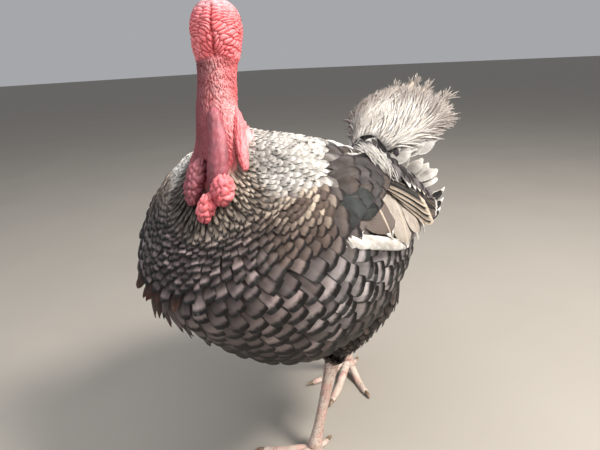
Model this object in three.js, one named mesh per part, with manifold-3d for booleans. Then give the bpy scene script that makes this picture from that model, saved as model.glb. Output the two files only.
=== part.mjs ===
// A standing domestic tom turkey at life size, in millimetres.
// +Z is up, the bird's body faces -Y and its left side is +X.  It is walking slowly, left foot
// forward, with its head turned back over its right shoulder and its tail raised.
// Every outline is that of the plumage, and each named part is a closed solid of its own.
import * as THREE from 'three';
import { mergeVertices } from 'three/addons/utils/BufferGeometryUtils.js';
import Module from 'manifold-3d';

const wasm = await Module();
wasm.setup();

// ---------------------------------------------------------------- driving dimensions
const GAP = 0.3;                 // clearance between parts that touch
const BODY_GAP = 0.8;            // growth of the body's sections, which leaves that clearance on its slopes
const NECK_AXIS_Y = -193;        // upright axis that the neck and head turn about
const TURN = THREE.MathUtils.degToRad(138);   // how far the head is turned to the bird's right
const TURN_FROM = 484;           // heights between which the neck twists
const TURN_TO = 612;
const HEAD_LEAN = 4;             // the head is carried this far to the left of the breast bone
const NECK_BOW = [-4.5, -4];     // how far the neck bows to the right and forward
const BOW_HEIGHT = 556;          // at this height, fading within this much above and below
const BOW_REACH = 42;
const BODY_COLUMNS = 22;         // facets round the trunk and neck
const BODY_ROWS = 42;            // and along them
const PAST_END = 0.1;            // stations by which the clearance body runs past both ends
const EYE_RADIUS = 7.2;
const EYE = [20.5, -213, 648];   // left eye, before the head is turned
const SOLE_HEIGHT = 4;           // height of a toe's axis where it lies on the floor
const TAIL_FEATHERS = 14;
const TAIL_LENGTH = 212;
const TAIL_SPREAD = THREE.MathUtils.degToRad(30);
const TAIL_YAW = THREE.MathUtils.degToRad(7);    // the tail is carried a little to the left
const TAIL_RISE = THREE.MathUtils.degToRad(46);
const TAIL_ROOT = [0, 112, 402];

// Stations of the body from the rump forward, up the neck and over the head to the bill's root.
// Each gives the back line's y and z, the front line's y and z, and the half width between them.
const BODY = [
  [150, 404, 146, 376, 24],      // rump, under the tail
  [132, 430, 120, 336, 74],
  [92, 452, 82, 280, 108],       // loin and vent
  [34, 474, 28, 230, 136],
  [-30, 495, -38, 197, 155],     // middle of the back and of the belly
  [-82, 509, -112, 188, 164],
  [-116, 517, -186, 208, 162],   // shoulders, lowest breast
  [-134, 521, -252, 268, 155],
  [-146, 524, -302, 322, 132],   // fullest breast
  [-154, 527, -304, 363, 94],
  [-160, 531, -280, 412, 61],
  [-165, 538, -254, 456, 44],    // feathered base of the neck
  [-169, 552, -233, 494, 33],
  [-171, 572, -222, 531, 26.5],    // bare neck
  [-171, 592, -217, 566, 23],
  [-169, 612, -218, 592, 23.5],
  [-163, 634, -223, 606, 27],    // back of the head
  [-165, 655, -227, 613, 28.5],
  [-181, 669, -230, 617, 28.5],  // crown
  [-203, 671, -233, 620, 26.5],
  [-222, 663, -236, 623, 21],    // forehead
  [-235, 650, -239, 627, 13],
];
const LAST_STATION = BODY.length - 1;
const NECK_CUT = { normal: [0, -0.64, 0.768], distance: 513 };   // plane between trunk and neck
const HEAD_CUT_Z = 603;          // height of the plane between neck and head
const FAR = 2000;                // beyond every point of the bird

const COLOURS = {
  plumage: [0x3a3230, 0.75],
  quills: [0x6b5a4c, 0.7],
  white: [0xe4dccf, 0.8],
  skin: [0xc9515b, 0.55],
  scales: [0xb79a92, 0.6],
  horn: [0x9a8470, 0.45],
  eye: [0x1c120c, 0.08],
};

// ---------------------------------------------------------------- geometry helpers
const { cos, sin, PI } = Math;

function add(a, b, scale = 1) {
  return a.map((value, i) => value + scale * b[i]);
}

function mix(a, b, t) {
  return a.map((value, i) => value + t * (b[i] - value));
}

function smoothstep(from, to, value) {
  return THREE.MathUtils.smoothstep(value, from, to);
}

// Catmull-Rom interpolation through evenly spaced rows of numbers, t counted in rows.
function spline(rows, t) {
  const last = rows.length - 1;
  const i = Math.min(Math.max(Math.floor(t), 0), last - 1);
  const f = t - i;
  const p1 = rows[i];
  const p2 = rows[i + 1];
  const p0 = i > 0 ? rows[i - 1] : add(p1, add(p1, p2, -1));
  const p3 = i < last - 1 ? rows[i + 2] : add(p2, add(p2, p1, -1));
  return p1.map((value, k) => 0.5 * (2 * value + (p2[k] - p0[k]) * f
    + (2 * p0[k] - 5 * value + 4 * p2[k] - p3[k]) * f * f
    + (3 * value - p0[k] - 3 * p2[k] + p3[k]) * f * f * f));
}

function meshGeometry(points, triangles) {
  const geometry = new THREE.BufferGeometry();
  geometry.setAttribute('position', new THREE.Float32BufferAttribute(points.flat(), 3));
  geometry.setIndex(triangles);
  return geometry;
}

// A closed tube through rings of equal length, each end closed by a fan round the ring's centre.
// The rings run counter-clockwise when seen from the tube's far end.
function skinRings(rings) {
  const columns = rings[0].length;
  const centre = (ring) => ring.reduce((sum, p) => add(sum, p, 1 / columns), [0, 0, 0]);
  const points = [...rings.flat(), centre(rings[0]), centre(rings.at(-1))];
  const start = points.length - 2;
  const end = points.length - 1;
  const triangles = [];
  for (let r = 0; r < rings.length - 1; r += 1) {
    for (let c = 0; c < columns; c += 1) {
      const a = r * columns + c;
      const b = r * columns + ((c + 1) % columns);
      triangles.push(a, b, b + columns, a, b + columns, a + columns);
    }
  }
  const lastRing = (rings.length - 1) * columns;
  for (let c = 0; c < columns; c += 1) {
    const next = (c + 1) % columns;
    triangles.push(start, next, c, end, lastRing + c, lastRing + next);
  }
  return meshGeometry(points, triangles);
}

function toSolid(geometry) {
  const plain = geometry.clone();
  plain.deleteAttribute('normal');
  plain.deleteAttribute('uv');
  const merged = mergeVertices(plain, 1e-4);
  return new wasm.Manifold(new wasm.Mesh({
    numProp: 3,
    vertProperties: Float32Array.from(merged.attributes.position.array),
    triVerts: Uint32Array.from(merged.index.array),
  }));
}

function toGeometry(solid) {
  const mesh = solid.getMesh();
  const geometry = new THREE.BufferGeometry();
  geometry.setAttribute('position', new THREE.BufferAttribute(mesh.vertProperties, 3));
  geometry.setIndex(new THREE.BufferAttribute(mesh.triVerts, 1));
  return geometry;
}

function cut(geometry, ...tools) {
  return toGeometry(tools.reduce((solid, tool) => solid.subtract(toSolid(tool)), toSolid(geometry)));
}

// The stretch of a solid between two parallel planes, given by their distances along `normal`.
function slice(geometry, normal, from, to) {
  const above = toSolid(geometry).trimByPlane(normal, from);
  return toGeometry(above.trimByPlane(normal.map((value) => -value), -to));
}

function block(low, high) {
  const size = add(high, low, -1);
  const box = new THREE.BoxGeometry(...size);
  return box.translate(...mix(low, high, 0.5));
}

// ---------------------------------------------------------------- the bird's own frame
// Turns a point of the neck or head about the neck's axis, more the higher it lies.
function turned([x, y, z]) {
  const share = smoothstep(TURN_FROM, TURN_TO, z);
  const angle = -TURN * share;
  const dy = y - NECK_AXIS_Y;
  const bow = Math.exp(-(((z - BOW_HEIGHT) / BOW_REACH) ** 2));
  return [
    HEAD_LEAN * share + NECK_BOW[0] * bow + x * cos(angle) - dy * sin(angle),
    NECK_AXIS_Y + NECK_BOW[1] * bow + x * sin(angle) + dy * cos(angle),
    z,
  ];
}

// One oval section of the body, grown outward by `grow` millimetres.
function bodyRing(station, grow = 0) {
  const [backY, backZ, frontY, frontZ, half] = spline(BODY, station);
  const middle = [0, (backY + frontY) / 2, (backZ + frontZ) / 2];
  const reach = [0, (backY - frontY) / 2, (backZ - frontZ) / 2];
  const length = Math.hypot(...reach);
  return Array.from({ length: BODY_COLUMNS }, (_, c) => {
    const angle = (2 * PI * c) / BODY_COLUMNS;
    const along = add(middle, reach, cos(angle) * (1 + grow / length));
    return turned([-sin(angle) * (half + grow), along[1], along[2]]);
  });
}

const evenStations = Array.from({ length: BODY_ROWS + 1 }, (_, r) => (LAST_STATION * r) / BODY_ROWS);
const wholeBody = skinRings(evenStations.map((station) => bodyRing(station)));
// The same body grown by the gap all round, to cut away what would overlap it.
const fatBody = skinRings([-PAST_END, ...evenStations, LAST_STATION + PAST_END]
  .map((station) => bodyRing(station, BODY_GAP)));

// ---------------------------------------------------------------- trunk, neck, head
const UP = [0, 0, 1];
const neckAndHead = slice(wholeBody, NECK_CUT.normal, NECK_CUT.distance + GAP, FAR);
const parts = [];

function part(name, geometry, colour) {
  const [hex, roughness] = COLOURS[colour];
  const material = new THREE.MeshStandardMaterial({ color: hex, roughness, metalness: 0 });
  const mesh = new THREE.Mesh(geometry, material);
  mesh.name = name;
  parts.push(mesh);
}

const eyeBall = (sign, radius) => new THREE.SphereGeometry(radius, 10, 6)
  .translate(...turned([sign * EYE[0], EYE[1], EYE[2]]));

part('trunk', slice(wholeBody, NECK_CUT.normal, -FAR, NECK_CUT.distance), 'plumage');
part('neck', slice(neckAndHead, UP, -FAR, HEAD_CUT_Z), 'skin');
part('head', cut(slice(neckAndHead, UP, HEAD_CUT_Z + GAP, FAR),
  eyeBall(1, EYE_RADIUS + GAP), eyeBall(-1, EYE_RADIUS + GAP)), 'skin');
part('eye_left', eyeBall(1, EYE_RADIUS), 'eye');
part('eye_right', eyeBall(-1, EYE_RADIUS), 'eye');

// ---------------------------------------------------------------- bill and snood
// A tube whose rows give its centre, half width and half depth; `place` moves each point.
function tube(rows, sides, steps, place = (p) => p, grow = 0) {
  const rings = [];
  for (let r = 0; r <= steps; r += 1) {
    const t = (r / steps) * (rows.length - 1);
    const [x, y, z, half, depth] = spline(rows, t);
    const ahead = spline(rows, Math.min(t + 0.05, rows.length - 1));
    const behind = spline(rows, Math.max(t - 0.05, 0));
    const along = new THREE.Vector3(...add(ahead, behind, -1).slice(0, 3)).normalize();
    const across = Math.abs(along.z) > 0.75
      ? new THREE.Vector3(1, 0, 0) : new THREE.Vector3(0, 0, 1).cross(along).normalize();
    across.addScaledVector(along, -across.dot(along)).normalize();
    const up = along.clone().cross(across);
    rings.push(Array.from({ length: sides }, (_, c) => {
      const angle = (2 * PI * c) / sides;
      const side = across.clone().multiplyScalar((half + grow) * cos(angle));
      const rise = up.clone().multiplyScalar((depth + grow) * sin(angle));
      return place([x + side.x + rise.x, y + side.y + rise.y, z + side.z + rise.z]);
    }));
  }
  return skinRings(rings);
}

// Rows of x, y, z, half width and half depth, before the head is turned.
const UPPER_BILL = [
  [0, -226, 643, 10, 7],
  [0, -246, 641, 8.2, 5.6],
  [0, -258, 636, 6.2, 4.6],
  [0, -267, 629, 3.4, 3.4],
  [0, -270, 623, 1.0, 1.2],
];
const LOWER_BILL = [
  [0, -228, 631, 8.6, 3.4],
  [0, -246, 629, 6.6, 3.0],
  [0, -258, 627, 4.6, 2.0],
  [0, -264, 626, 2.0, 0.9],
];
const SNOOD = [
  [0, -226, 662, 4.5, 4.5],
  [2, -242, 668, 6.0, 6.0],
  [7, -254, 660, 5.6, 5.6],
  [12, -258, 644, 5.2, 5.2],
  [14, -257, 628, 3.0, 3.0],
];
const fatUpperBill = tube(UPPER_BILL, 10, 6, turned, GAP);
part('bill_upper', cut(tube(UPPER_BILL, 10, 6, turned), fatBody), 'horn');
part('bill_lower', cut(tube(LOWER_BILL, 8, 5, turned), fatBody, fatUpperBill), 'horn');
part('snood', cut(tube(SNOOD, 8, 9, turned), fatBody, fatUpperBill), 'skin');

// ---------------------------------------------------------------- wattles of the neck
// Rows of x, y, z, half width and half depth down each fold of loose skin.
const WATTLES = {
  dewlap: [
    [12, -214, 560, 5, 6],
    [20, -220, 541, 9, 8],
    [30, -227, 520, 11, 9],
    [35, -234, 500, 13, 10],
    [35, -238, 484, 12, 10],
    [31, -239, 472, 6, 7],
  ],
  caruncle_left: [
    [43, -231, 487, 6, 6],
    [47, -239, 478, 11.5, 11],
    [47, -243, 467, 12.5, 12],
    [44, -243, 456, 7, 7],
  ],
  caruncle_low: [
    [32, -246, 468, 5, 5],
    [34, -253, 458, 9, 9],
    [33, -258, 446, 9.5, 9],
    [31, -259, 437, 5, 5],
  ],
  caruncle_right: [
    [8, -235, 502, 6, 7],
    [6, -244, 484, 10.5, 10],
    [6, -251, 466, 10.5, 10],
    [8, -254, 450, 6, 6],
  ],
  neck_flap: [
    [20, -188, 556, 4, 4],
    [28, -194, 538, 6.5, 5],
    [40, -203, 516, 6.5, 5.5],
    [52, -211, 498, 4.5, 4],
    [57, -214, 489, 2, 2],
  ],
};
const fatBefore = [fatBody];
for (const [name, rows] of Object.entries(WATTLES)) {
  part(name, cut(tube(rows, 9, 7), ...fatBefore), 'skin');
  fatBefore.push(tube(rows, 9, 7, (p) => p, GAP));
}

// ---------------------------------------------------------------- wings
// Rows from the wrist back to the tip: y, centre x and z, half height, half thickness, inward lean.
const WING = [
  [-206, 106, 414, 9, 5, 0.5],
  [-188, 112, 418, 38, 14, 0.5],
  [-140, 120, 424, 60, 23, 0.5],
  [-70, 125, 420, 72, 27, 0.5],
  [0, 120, 408, 68, 24, 0.45],
  [60, 112, 392, 55, 18, 0.4],
  [120, 104, 372, 36, 11, 0.35],
  [168, 98, 357, 20, 6, 0.3],
  [192, 95, 350, 6, 2.5, 0.3],
];
const WING_SIDES = 16;

function wing(rows, from, to, steps) {
  const rings = [];
  for (let r = 0; r <= steps; r += 1) {
    const [y, x, z, high, thick, lean] = spline(rows, from + ((to - from) * r) / steps);
    rings.push(Array.from({ length: WING_SIDES }, (_, c) => {
      const angle = (2 * PI * c) / WING_SIDES;
      const up = high * cos(angle);
      const out = thick * sin(angle);
      return [x - up * sin(lean) + out * cos(lean), y, z + up * cos(lean) + out * sin(lean)];
    }));
  }
  return skinRings(rings);
}

function mirror(geometry) {
  const other = geometry.clone().scale(-1, 1, 1);
  const index = other.index.array;
  for (let i = 0; i < index.length; i += 3) {
    [index[i], index[i + 1]] = [index[i + 1], index[i]];
  }
  return other;
}

const SEAM = 0.005;              // share of a row left open between the wing's two parts
const PRIMARIES_STATION = 4.6;   // where the coverts end and the flight feathers begin
const arm = wing(WING, 0, PRIMARIES_STATION - SEAM, 10);
const flight = wing(WING, PRIMARIES_STATION, WING.length - 1, 7);
part('wing_left', cut(arm, fatBody), 'plumage');
part('wing_right', cut(mirror(arm), fatBody), 'plumage');
part('flight_feathers_left', cut(flight, fatBody), 'quills');
part('flight_feathers_right', cut(mirror(flight), fatBody), 'quills');

// ---------------------------------------------------------------- tail
const SCALLOP_DEPTH = 0.035;     // of the fan's radius, between two feather tips
const FAN_ROUNDING = 0.1;        // how much shorter the outermost feathers are
const FAN_CURL = 0.06;           // how far the tips curl forward, as a share of the radius

// A slice of a fan about the tail's root, from `near` to `far`, `thick` at the root and `thin` at
// the tips, raised by `lift` off the fan's own plane and cupped down towards its two edges.
function fan(shape, columns, rows, grow = 0) {
  const { near, far, spread, rise, thick, thin, lift = 0, scallops = 0, cup = 0.12 } = shape;
  const rings = [];
  for (let c = 0; c <= columns; c += 1) {
    const share = (2 * c) / columns - 1;
    const angle = (spread + grow / far) * share;
    const notch = scallops ? Math.abs(sin(scallops * PI * (share + 1) / 2)) : 0;
    const reach = (far + grow) * (1 - SCALLOP_DEPTH * notch) * (1 - FAN_ROUNDING * share * share);
    const loop = [];
    for (let r = 0; r <= rows; r += 1) {
      loop.push([near + ((reach - near) * r) / rows, -1]);
    }
    for (let r = rows; r >= 0; r -= 1) {
      loop.push([near + ((reach - near) * r) / rows, 1]);
    }
    rings.push(loop.map(([radius, face]) => {
      const t = radius / far;
      const half = (thick + (thin - thick) * t) / 2 * (1 - 0.6 * share * share) + grow;
      const height = face * half + lift - cup * radius * share * share + FAN_CURL * radius * t;
      const out = radius * cos(angle);
      const side = radius * sin(angle);
      const back = out * cos(rise) - height * sin(rise);
      return [
        TAIL_ROOT[0] + side * cos(TAIL_YAW) + back * sin(TAIL_YAW),
        TAIL_ROOT[1] - side * sin(TAIL_YAW) + back * cos(TAIL_YAW),
        TAIL_ROOT[2] + out * sin(rise) + height * cos(rise),
      ];
    }));
  }
  return skinRings(rings);
}

const TAIL_FAN = {
  near: 20,
  far: TAIL_LENGTH,
  spread: TAIL_SPREAD,
  rise: TAIL_RISE,
  thick: 16,
  thin: 4,
  scallops: TAIL_FEATHERS,
};
const UPPER_COVERTS = {
  near: 10,
  far: 135,
  spread: TAIL_SPREAD * 1.6,
  rise: TAIL_RISE - 0.05,
  thick: 66,
  thin: 8,
  lift: 25,
  cup: 0.2,
};
const UNDER_COVERTS = {
  near: 10,
  far: 130,
  spread: TAIL_SPREAD * 1.5,
  rise: TAIL_RISE - 0.2,
  thick: 84,
  thin: 14,
  lift: -44,
  cup: 0.1,
};
const fatFan = fan(TAIL_FAN, 28, 2, GAP);
part('tail', cut(fan(TAIL_FAN, 28, 2), fatBody), 'white');
part('tail_coverts_upper', cut(fan(UPPER_COVERTS, 10, 3), fatBody, fatFan), 'plumage');
part('tail_coverts_under', cut(fan(UNDER_COVERTS, 10, 3), fatBody, fatFan), 'white');

// ---------------------------------------------------------------- legs
// Rows of x, y, z, half width and half depth down each leg, from inside the belly to the hock
// and from the hock to the ball of the foot.
const LEGS = {
  left: {
    thigh: [
      [82, 0, 300, 50, 56],
      [82, -10, 258, 47, 50],
      [69, -34, 208, 33, 36],
      [54, -60, 168, 17, 19],
    ],
    shank: [
      [53, -62, 163, 11, 13],
      [52, -66, 148, 10.5, 12],
      [49, -80, 100, 8, 9.5],
      [46, -96, 48, 8, 9],
      [44.5, -104, 20, 10.5, 12],
      [44, -107, -4, 12.5, 13],
    ],
    heading: 14,
    ball: 10,
  },
  right: {
    thigh: [
      [-84, 20, 300, 50, 58],
      [-84, 28, 258, 48, 54],
      [-68, 50, 210, 34, 38],
      [-50, 57, 172, 17, 19],
    ],
    shank: [
      [-49, 57, 171, 11, 13],
      [-48, 60, 158, 10.5, 12],
      [-46, 76, 112, 8, 9.5],
      [-44, 94, 62, 8, 9],
      [-43, 104, 34, 10.5, 11.5],
      [-42, 107, 13, 11.5, 12],
    ],
    heading: 19,
    ball: 24,
  },
};
const TOES = {
  middle: { length: 106, angle: 0, radius: 7.6, claw: 15 },
  inner: { length: 84, angle: 40, radius: 6.8, claw: 14 },
  outer: { length: 86, angle: -38, radius: 6.8, claw: 13 },
  hind: { length: 33, angle: 168, radius: 5.4, claw: 11 },
};
const TOE_ROWS = { inside: 2, knuckle: 0.3, mid: 0.6, pad: 0.9 };   // mm, then shares of a toe's length
const SPUR_STATION = 3.2;        // row of the shank that the spur grows from
const CLAW_INSIDE = 5;           // how far a claw starts inside its toe
const underFloor = block([-FAR, -FAR, -FAR], [FAR, FAR, 0]);

function onFloor(geometry) {
  return cut(geometry, underFloor);
}

for (const [side, leg] of Object.entries(LEGS)) {
  const inward = side === 'left' ? -1 : 1;
  const fatShank = tube(leg.shank, 9, 10, (p) => p, GAP);
  const thigh = cut(tube(leg.thigh, 12, 7), fatBody, fatShank);
  part(`thigh_${side}`, thigh, 'plumage');
  part(`shank_${side}`, onFloor(cut(tube(leg.shank, 9, 10), fatBody)), 'scales');

  const [spurX, spurY, spurZ] = spline(leg.shank, SPUR_STATION);
  const spur = [
    [spurX, spurY + 4, spurZ, 5, 5],
    [spurX + 4 * inward, spurY + 15, spurZ + 1, 3.2, 3.2],
    [spurX + 6 * inward, spurY + 22, spurZ + 5, 0.8, 0.8],
  ];
  part(`spur_${side}`, cut(tube(spur, 6, 3), fatShank), 'horn');

  const [ballX, ballY] = leg.shank.at(-1);
  const made = [fatShank];
  for (const [name, toe] of Object.entries(TOES)) {
    const angle = THREE.MathUtils.degToRad((leg.heading + toe.angle) * inward);
    const at = (distance, height, radius) => [
      ballX + distance * sin(angle), ballY - distance * cos(angle), height, radius, radius * 0.9];
    const L = toe.length;
    const R = toe.radius;
    const rows = [
      at(TOE_ROWS.inside, leg.ball, R * 1.1),
      at(TOE_ROWS.knuckle * L, (leg.ball + SOLE_HEIGHT) / 2 + 1, R),
      at(TOE_ROWS.mid * L, SOLE_HEIGHT + 0.3, R * 0.95),
      at(TOE_ROWS.pad * L, SOLE_HEIGHT, R * 0.85),
      at(L, SOLE_HEIGHT, R * 0.6),
    ];
    const clawRows = [
      at(L - CLAW_INSIDE, SOLE_HEIGHT + 1, 3.6),
      at(L + 0.5 * toe.claw, SOLE_HEIGHT + 1.5, 2.9),
      at(L + toe.claw, 2.4, 0.8),
    ];
    const fatToe = tube(rows, 6, 6, (p) => p, GAP);
    part(`toe_${side}_${name}`, onFloor(cut(tube(rows, 6, 6), ...made)), 'scales');
    part(`claw_${side}_${name}`, onFloor(cut(tube(clawRows, 5, 3), fatToe)), 'horn');
    made.push(fatToe);
  }
}

// ---------------------------------------------------------------- the whole bird
const group = new THREE.Group();
const whole = new THREE.Box3();
for (const mesh of parts) {
  mesh.geometry.computeBoundingBox();
  whole.union(mesh.geometry.boundingBox);
}
const middle = whole.getCenter(new THREE.Vector3());
for (const mesh of parts) {
  mesh.geometry.translate(-middle.x, -middle.y, -whole.min.z);
}
group.add(...parts);

export default group;
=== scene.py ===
"""The looks of a grown domestic tom turkey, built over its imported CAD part.

Shapes are worked out in millimetres in the bird's own frame: the origin lies on the floor between
the feet, the body faces -Y and its left side is +X.  Piece.build() turns them into the part's metres.
A surface is a function of two arrays, u along the lie of the coat and v round or across it.
"""
import itertools
import math

import bpy
import numpy as np
from mathutils import Matrix, Vector
from mathutils.bvhtree import BVHTree


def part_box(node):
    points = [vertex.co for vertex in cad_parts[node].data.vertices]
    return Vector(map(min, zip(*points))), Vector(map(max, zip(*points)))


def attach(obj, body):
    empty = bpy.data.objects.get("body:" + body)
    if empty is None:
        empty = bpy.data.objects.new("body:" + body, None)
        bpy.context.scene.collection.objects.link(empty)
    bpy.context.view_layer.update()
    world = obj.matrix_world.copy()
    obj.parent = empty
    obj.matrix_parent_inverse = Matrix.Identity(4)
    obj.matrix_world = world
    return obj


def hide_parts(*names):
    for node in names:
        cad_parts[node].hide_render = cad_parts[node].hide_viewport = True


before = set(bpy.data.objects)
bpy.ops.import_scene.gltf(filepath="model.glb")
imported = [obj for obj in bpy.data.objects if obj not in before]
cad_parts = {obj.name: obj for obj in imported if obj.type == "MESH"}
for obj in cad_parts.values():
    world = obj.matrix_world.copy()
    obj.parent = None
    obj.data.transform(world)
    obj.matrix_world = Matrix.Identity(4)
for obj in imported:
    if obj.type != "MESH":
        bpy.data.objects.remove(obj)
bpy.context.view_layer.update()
PI, TURN_ROUND = math.pi, 2 * math.pi
MM = 0.001
rng = np.random.default_rng(7)
scene = bpy.context.scene
scene.view_settings.view_transform = "Standard"

# ------------------------------------------------------------------ the body's own sections
NECK_AXIS_Y = -193               # place of the upright line that the head turns about
TURN = math.radians(138)         # how far it turns, to the bird's right
TURN_FROM, TURN_TO = 484, 612    # heights between which the neck takes the turn up
HEAD_LEAN = 4                    # how far the turned head lies to the left of that line
NECK_BOW, BOW_HEIGHT, BOW_REACH = (-4.5, -4), 556, 42
HEAD_RADIUS = 28                 # turns an angle round the neck or head into a length
EYE = np.array([20.5, -213.0, 648.0])
EYE_RADIUS = 7.2
# Back line y and z, front line y and z, and half width, from the rump to the bill's root.
BODY = [
    [150, 404, 146, 376, 24], [132, 430, 120, 336, 74], [92, 452, 82, 280, 108],
    [34, 474, 28, 230, 136], [-30, 495, -38, 197, 155], [-82, 509, -112, 188, 164],
    [-116, 517, -186, 208, 162], [-134, 521, -252, 268, 155], [-146, 524, -302, 322, 132],
    [-154, 527, -304, 363, 94], [-160, 531, -280, 412, 61], [-165, 538, -254, 456, 44],
    [-169, 552, -233, 494, 33], [-171, 572, -222, 531, 26.5], [-171, 592, -217, 566, 23],
    [-169, 612, -218, 592, 23.5], [-163, 634, -223, 606, 27], [-165, 655, -227, 613, 28.5],
    [-181, 669, -230, 617, 28.5], [-203, 671, -233, 620, 26.5], [-222, 663, -236, 623, 21],
    [-235, 650, -239, 627, 13],
]
LAST = len(BODY) - 1             # stations count the rows of BODY from 0 to this
# Rows of x, y, z, half width and half depth down each fold of skin.
SNOOD = [[0, -226, 662, 4.5, 4.5], [2, -242, 668, 6, 6], [7, -254, 660, 5.6, 5.6],
         [12, -258, 644, 5.2, 5.2], [14, -257, 628, 3, 3]]
WATTLES = {
    "dewlap": [[12, -214, 560, 5, 6], [20, -220, 541, 9, 8], [30, -227, 520, 11, 9],
               [35, -234, 500, 13, 10], [35, -238, 484, 12, 10], [31, -239, 472, 6, 7]],
    "caruncle_left": [[43, -231, 487, 6, 6], [47, -239, 478, 11.5, 11], [47, -243, 467, 12.5, 12],
                      [44, -243, 456, 7, 7]],
    "caruncle_low": [[32, -246, 468, 5, 5], [34, -253, 458, 9, 9], [33, -258, 446, 9.5, 9],
                     [31, -259, 437, 5, 5]],
    "caruncle_right": [[8, -235, 502, 6, 7], [6, -244, 484, 10.5, 10], [6, -251, 466, 10.5, 10],
                       [8, -254, 450, 6, 6]],
    "neck_flap": [[20, -188, 556, 4, 4], [28, -194, 538, 6.5, 5], [40, -203, 516, 6.5, 5.5],
                  [52, -211, 498, 4.5, 4], [57, -214, 489, 2, 2]],
}
UPPER_BILL = [[0, -226, 643, 10, 7], [0, -246, 641, 8.2, 5.6], [0, -258, 636, 6.2, 4.6],
              [0, -267, 629, 3.4, 3.4], [0, -270, 623, 1, 1.2]]
LOWER_BILL = [[0, -228, 631, 8.6, 3.4], [0, -246, 629, 6.6, 3], [0, -258, 627, 4.6, 2],
              [0, -264, 626, 2, 0.9]]
# Wing rows from the wrist to the tip: y, centre x and z, half height, half thickness, lean.
WING = [[-206, 106, 414, 9, 5, 0.5], [-188, 112, 418, 38, 14, 0.5], [-140, 120, 424, 60, 23, 0.5],
        [-70, 125, 420, 72, 27, 0.5], [0, 120, 408, 68, 24, 0.45], [60, 112, 392, 55, 18, 0.4],
        [120, 104, 372, 36, 11, 0.35], [168, 98, 357, 20, 6, 0.3], [192, 95, 350, 6, 2.5, 0.3]]
TAIL_ROOT = np.array([0.0, 112.0, 402.0])
TAIL_YAW = math.radians(7)
TAIL_RISE = math.radians(46)
TAIL_SPREAD = math.radians(30)
TAIL_LENGTH = 212
# Legs: rows down the thigh and the shank, the foot's heading, and the height of its ball.
LEGS = {
    "left": {
        "thigh": [[82, 0, 300, 50, 56], [82, -10, 258, 47, 50], [69, -34, 208, 33, 36],
                  [54, -60, 168, 17, 19]],
        "shank": [[53, -62, 163, 11, 13], [52, -66, 148, 10.5, 12], [49, -80, 100, 8, 9.5],
                  [46, -96, 48, 8, 9], [44.5, -104, 20, 10.5, 12], [44, -107, -4, 12.5, 13]],
        "heading": 14, "ball": 10, "inward": -1,
    },
    "right": {
        "thigh": [[-84, 20, 300, 50, 58], [-84, 28, 258, 48, 54], [-68, 50, 210, 34, 38],
                  [-50, 57, 172, 17, 19]],
        "shank": [[-49, 57, 171, 11, 13], [-48, 60, 158, 10.5, 12], [-46, 76, 112, 8, 9.5],
                  [-44, 94, 62, 8, 9], [-43, 104, 34, 10.5, 11.5], [-42, 107, 13, 11.5, 12]],
        "heading": 19, "ball": 24, "inward": 1,
    },
}
TOES = {
    "middle": {"length": 106, "angle": 0, "radius": 7.6, "claw": 15},
    "inner": {"length": 84, "angle": 40, "radius": 6.8, "claw": 14},
    "outer": {"length": 86, "angle": -38, "radius": 6.8, "claw": 13},
    "hind": {"length": 33, "angle": 168, "radius": 5.4, "claw": 11},
}
SOLE_HEIGHT = 4                  # of a toe's middle line over the floor
SPUR_AT = 3.2                    # row of the shank that the spur grows from


# ------------------------------------------------------------------ numbers and noise
def smoothstep(low, high, value):
    """0 below low, 1 above high and a smooth S between them; low may be the larger one."""
    t = np.clip((value - low) / (high - low), 0, 1)
    return t * t * (3 - 2 * t)


def bell(value, width):
    """1 where value is 0, falling away smoothly on both sides."""
    return np.exp(-(value / width) ** 2)


def unit(vectors):
    """Each vector over its own length."""
    return vectors / np.maximum(np.linalg.norm(vectors, axis=-1, keepdims=True), 1e-9)


def dot(a, b):
    """Sum of the products of two vectors' parts, kept as a last axis of one."""
    return (a * b).sum(-1, keepdims=True)


def spline(rows, t):
    """Catmull-Rom curve through evenly spaced rows of numbers; t counts rows."""
    rows = np.asarray(rows, float)
    t = np.asarray(t, float)
    padded = np.concatenate([[2 * rows[0] - rows[1]], rows, [2 * rows[-1] - rows[-2]]])
    i = np.clip(np.floor(t).astype(int), 0, len(rows) - 2)
    f = (t - i)[..., None]
    p0, p1, p2, p3 = (padded[i + k] for k in range(4))
    return 0.5 * (2 * p1 + (p2 - p0) * f + (2 * p0 - 5 * p1 + 4 * p2 - p3) * f ** 2
                  + (3 * p1 - p0 - 3 * p2 + p3) * f ** 3)


def hashed(counts, seed=0.0):
    """A number from 0 to 1 for each row of whole numbers: the far decimals of a sine."""
    weights = np.array([127.1, 311.7, 74.7])[:counts.shape[-1]]
    return np.modf(np.abs(np.sin((counts * weights).sum(-1) + seed * 17.17)) * 43758.5453)[0]


def noise(points, size, seed=0.0):
    """Smooth lattice noise from -1 to 1 whose cells are `size` across."""
    p = np.asarray(points, float) / size
    cell = np.floor(p)
    f = p - cell
    f = f * f * (3 - 2 * f)
    total = 0
    for corner in itertools.product((0, 1), repeat=p.shape[-1]):
        c = np.array(corner)
        total = total + np.prod(np.where(c == 1, f, 1 - f), axis=-1) * hashed(cell + c, seed)
    return 2 * total - 1


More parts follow.
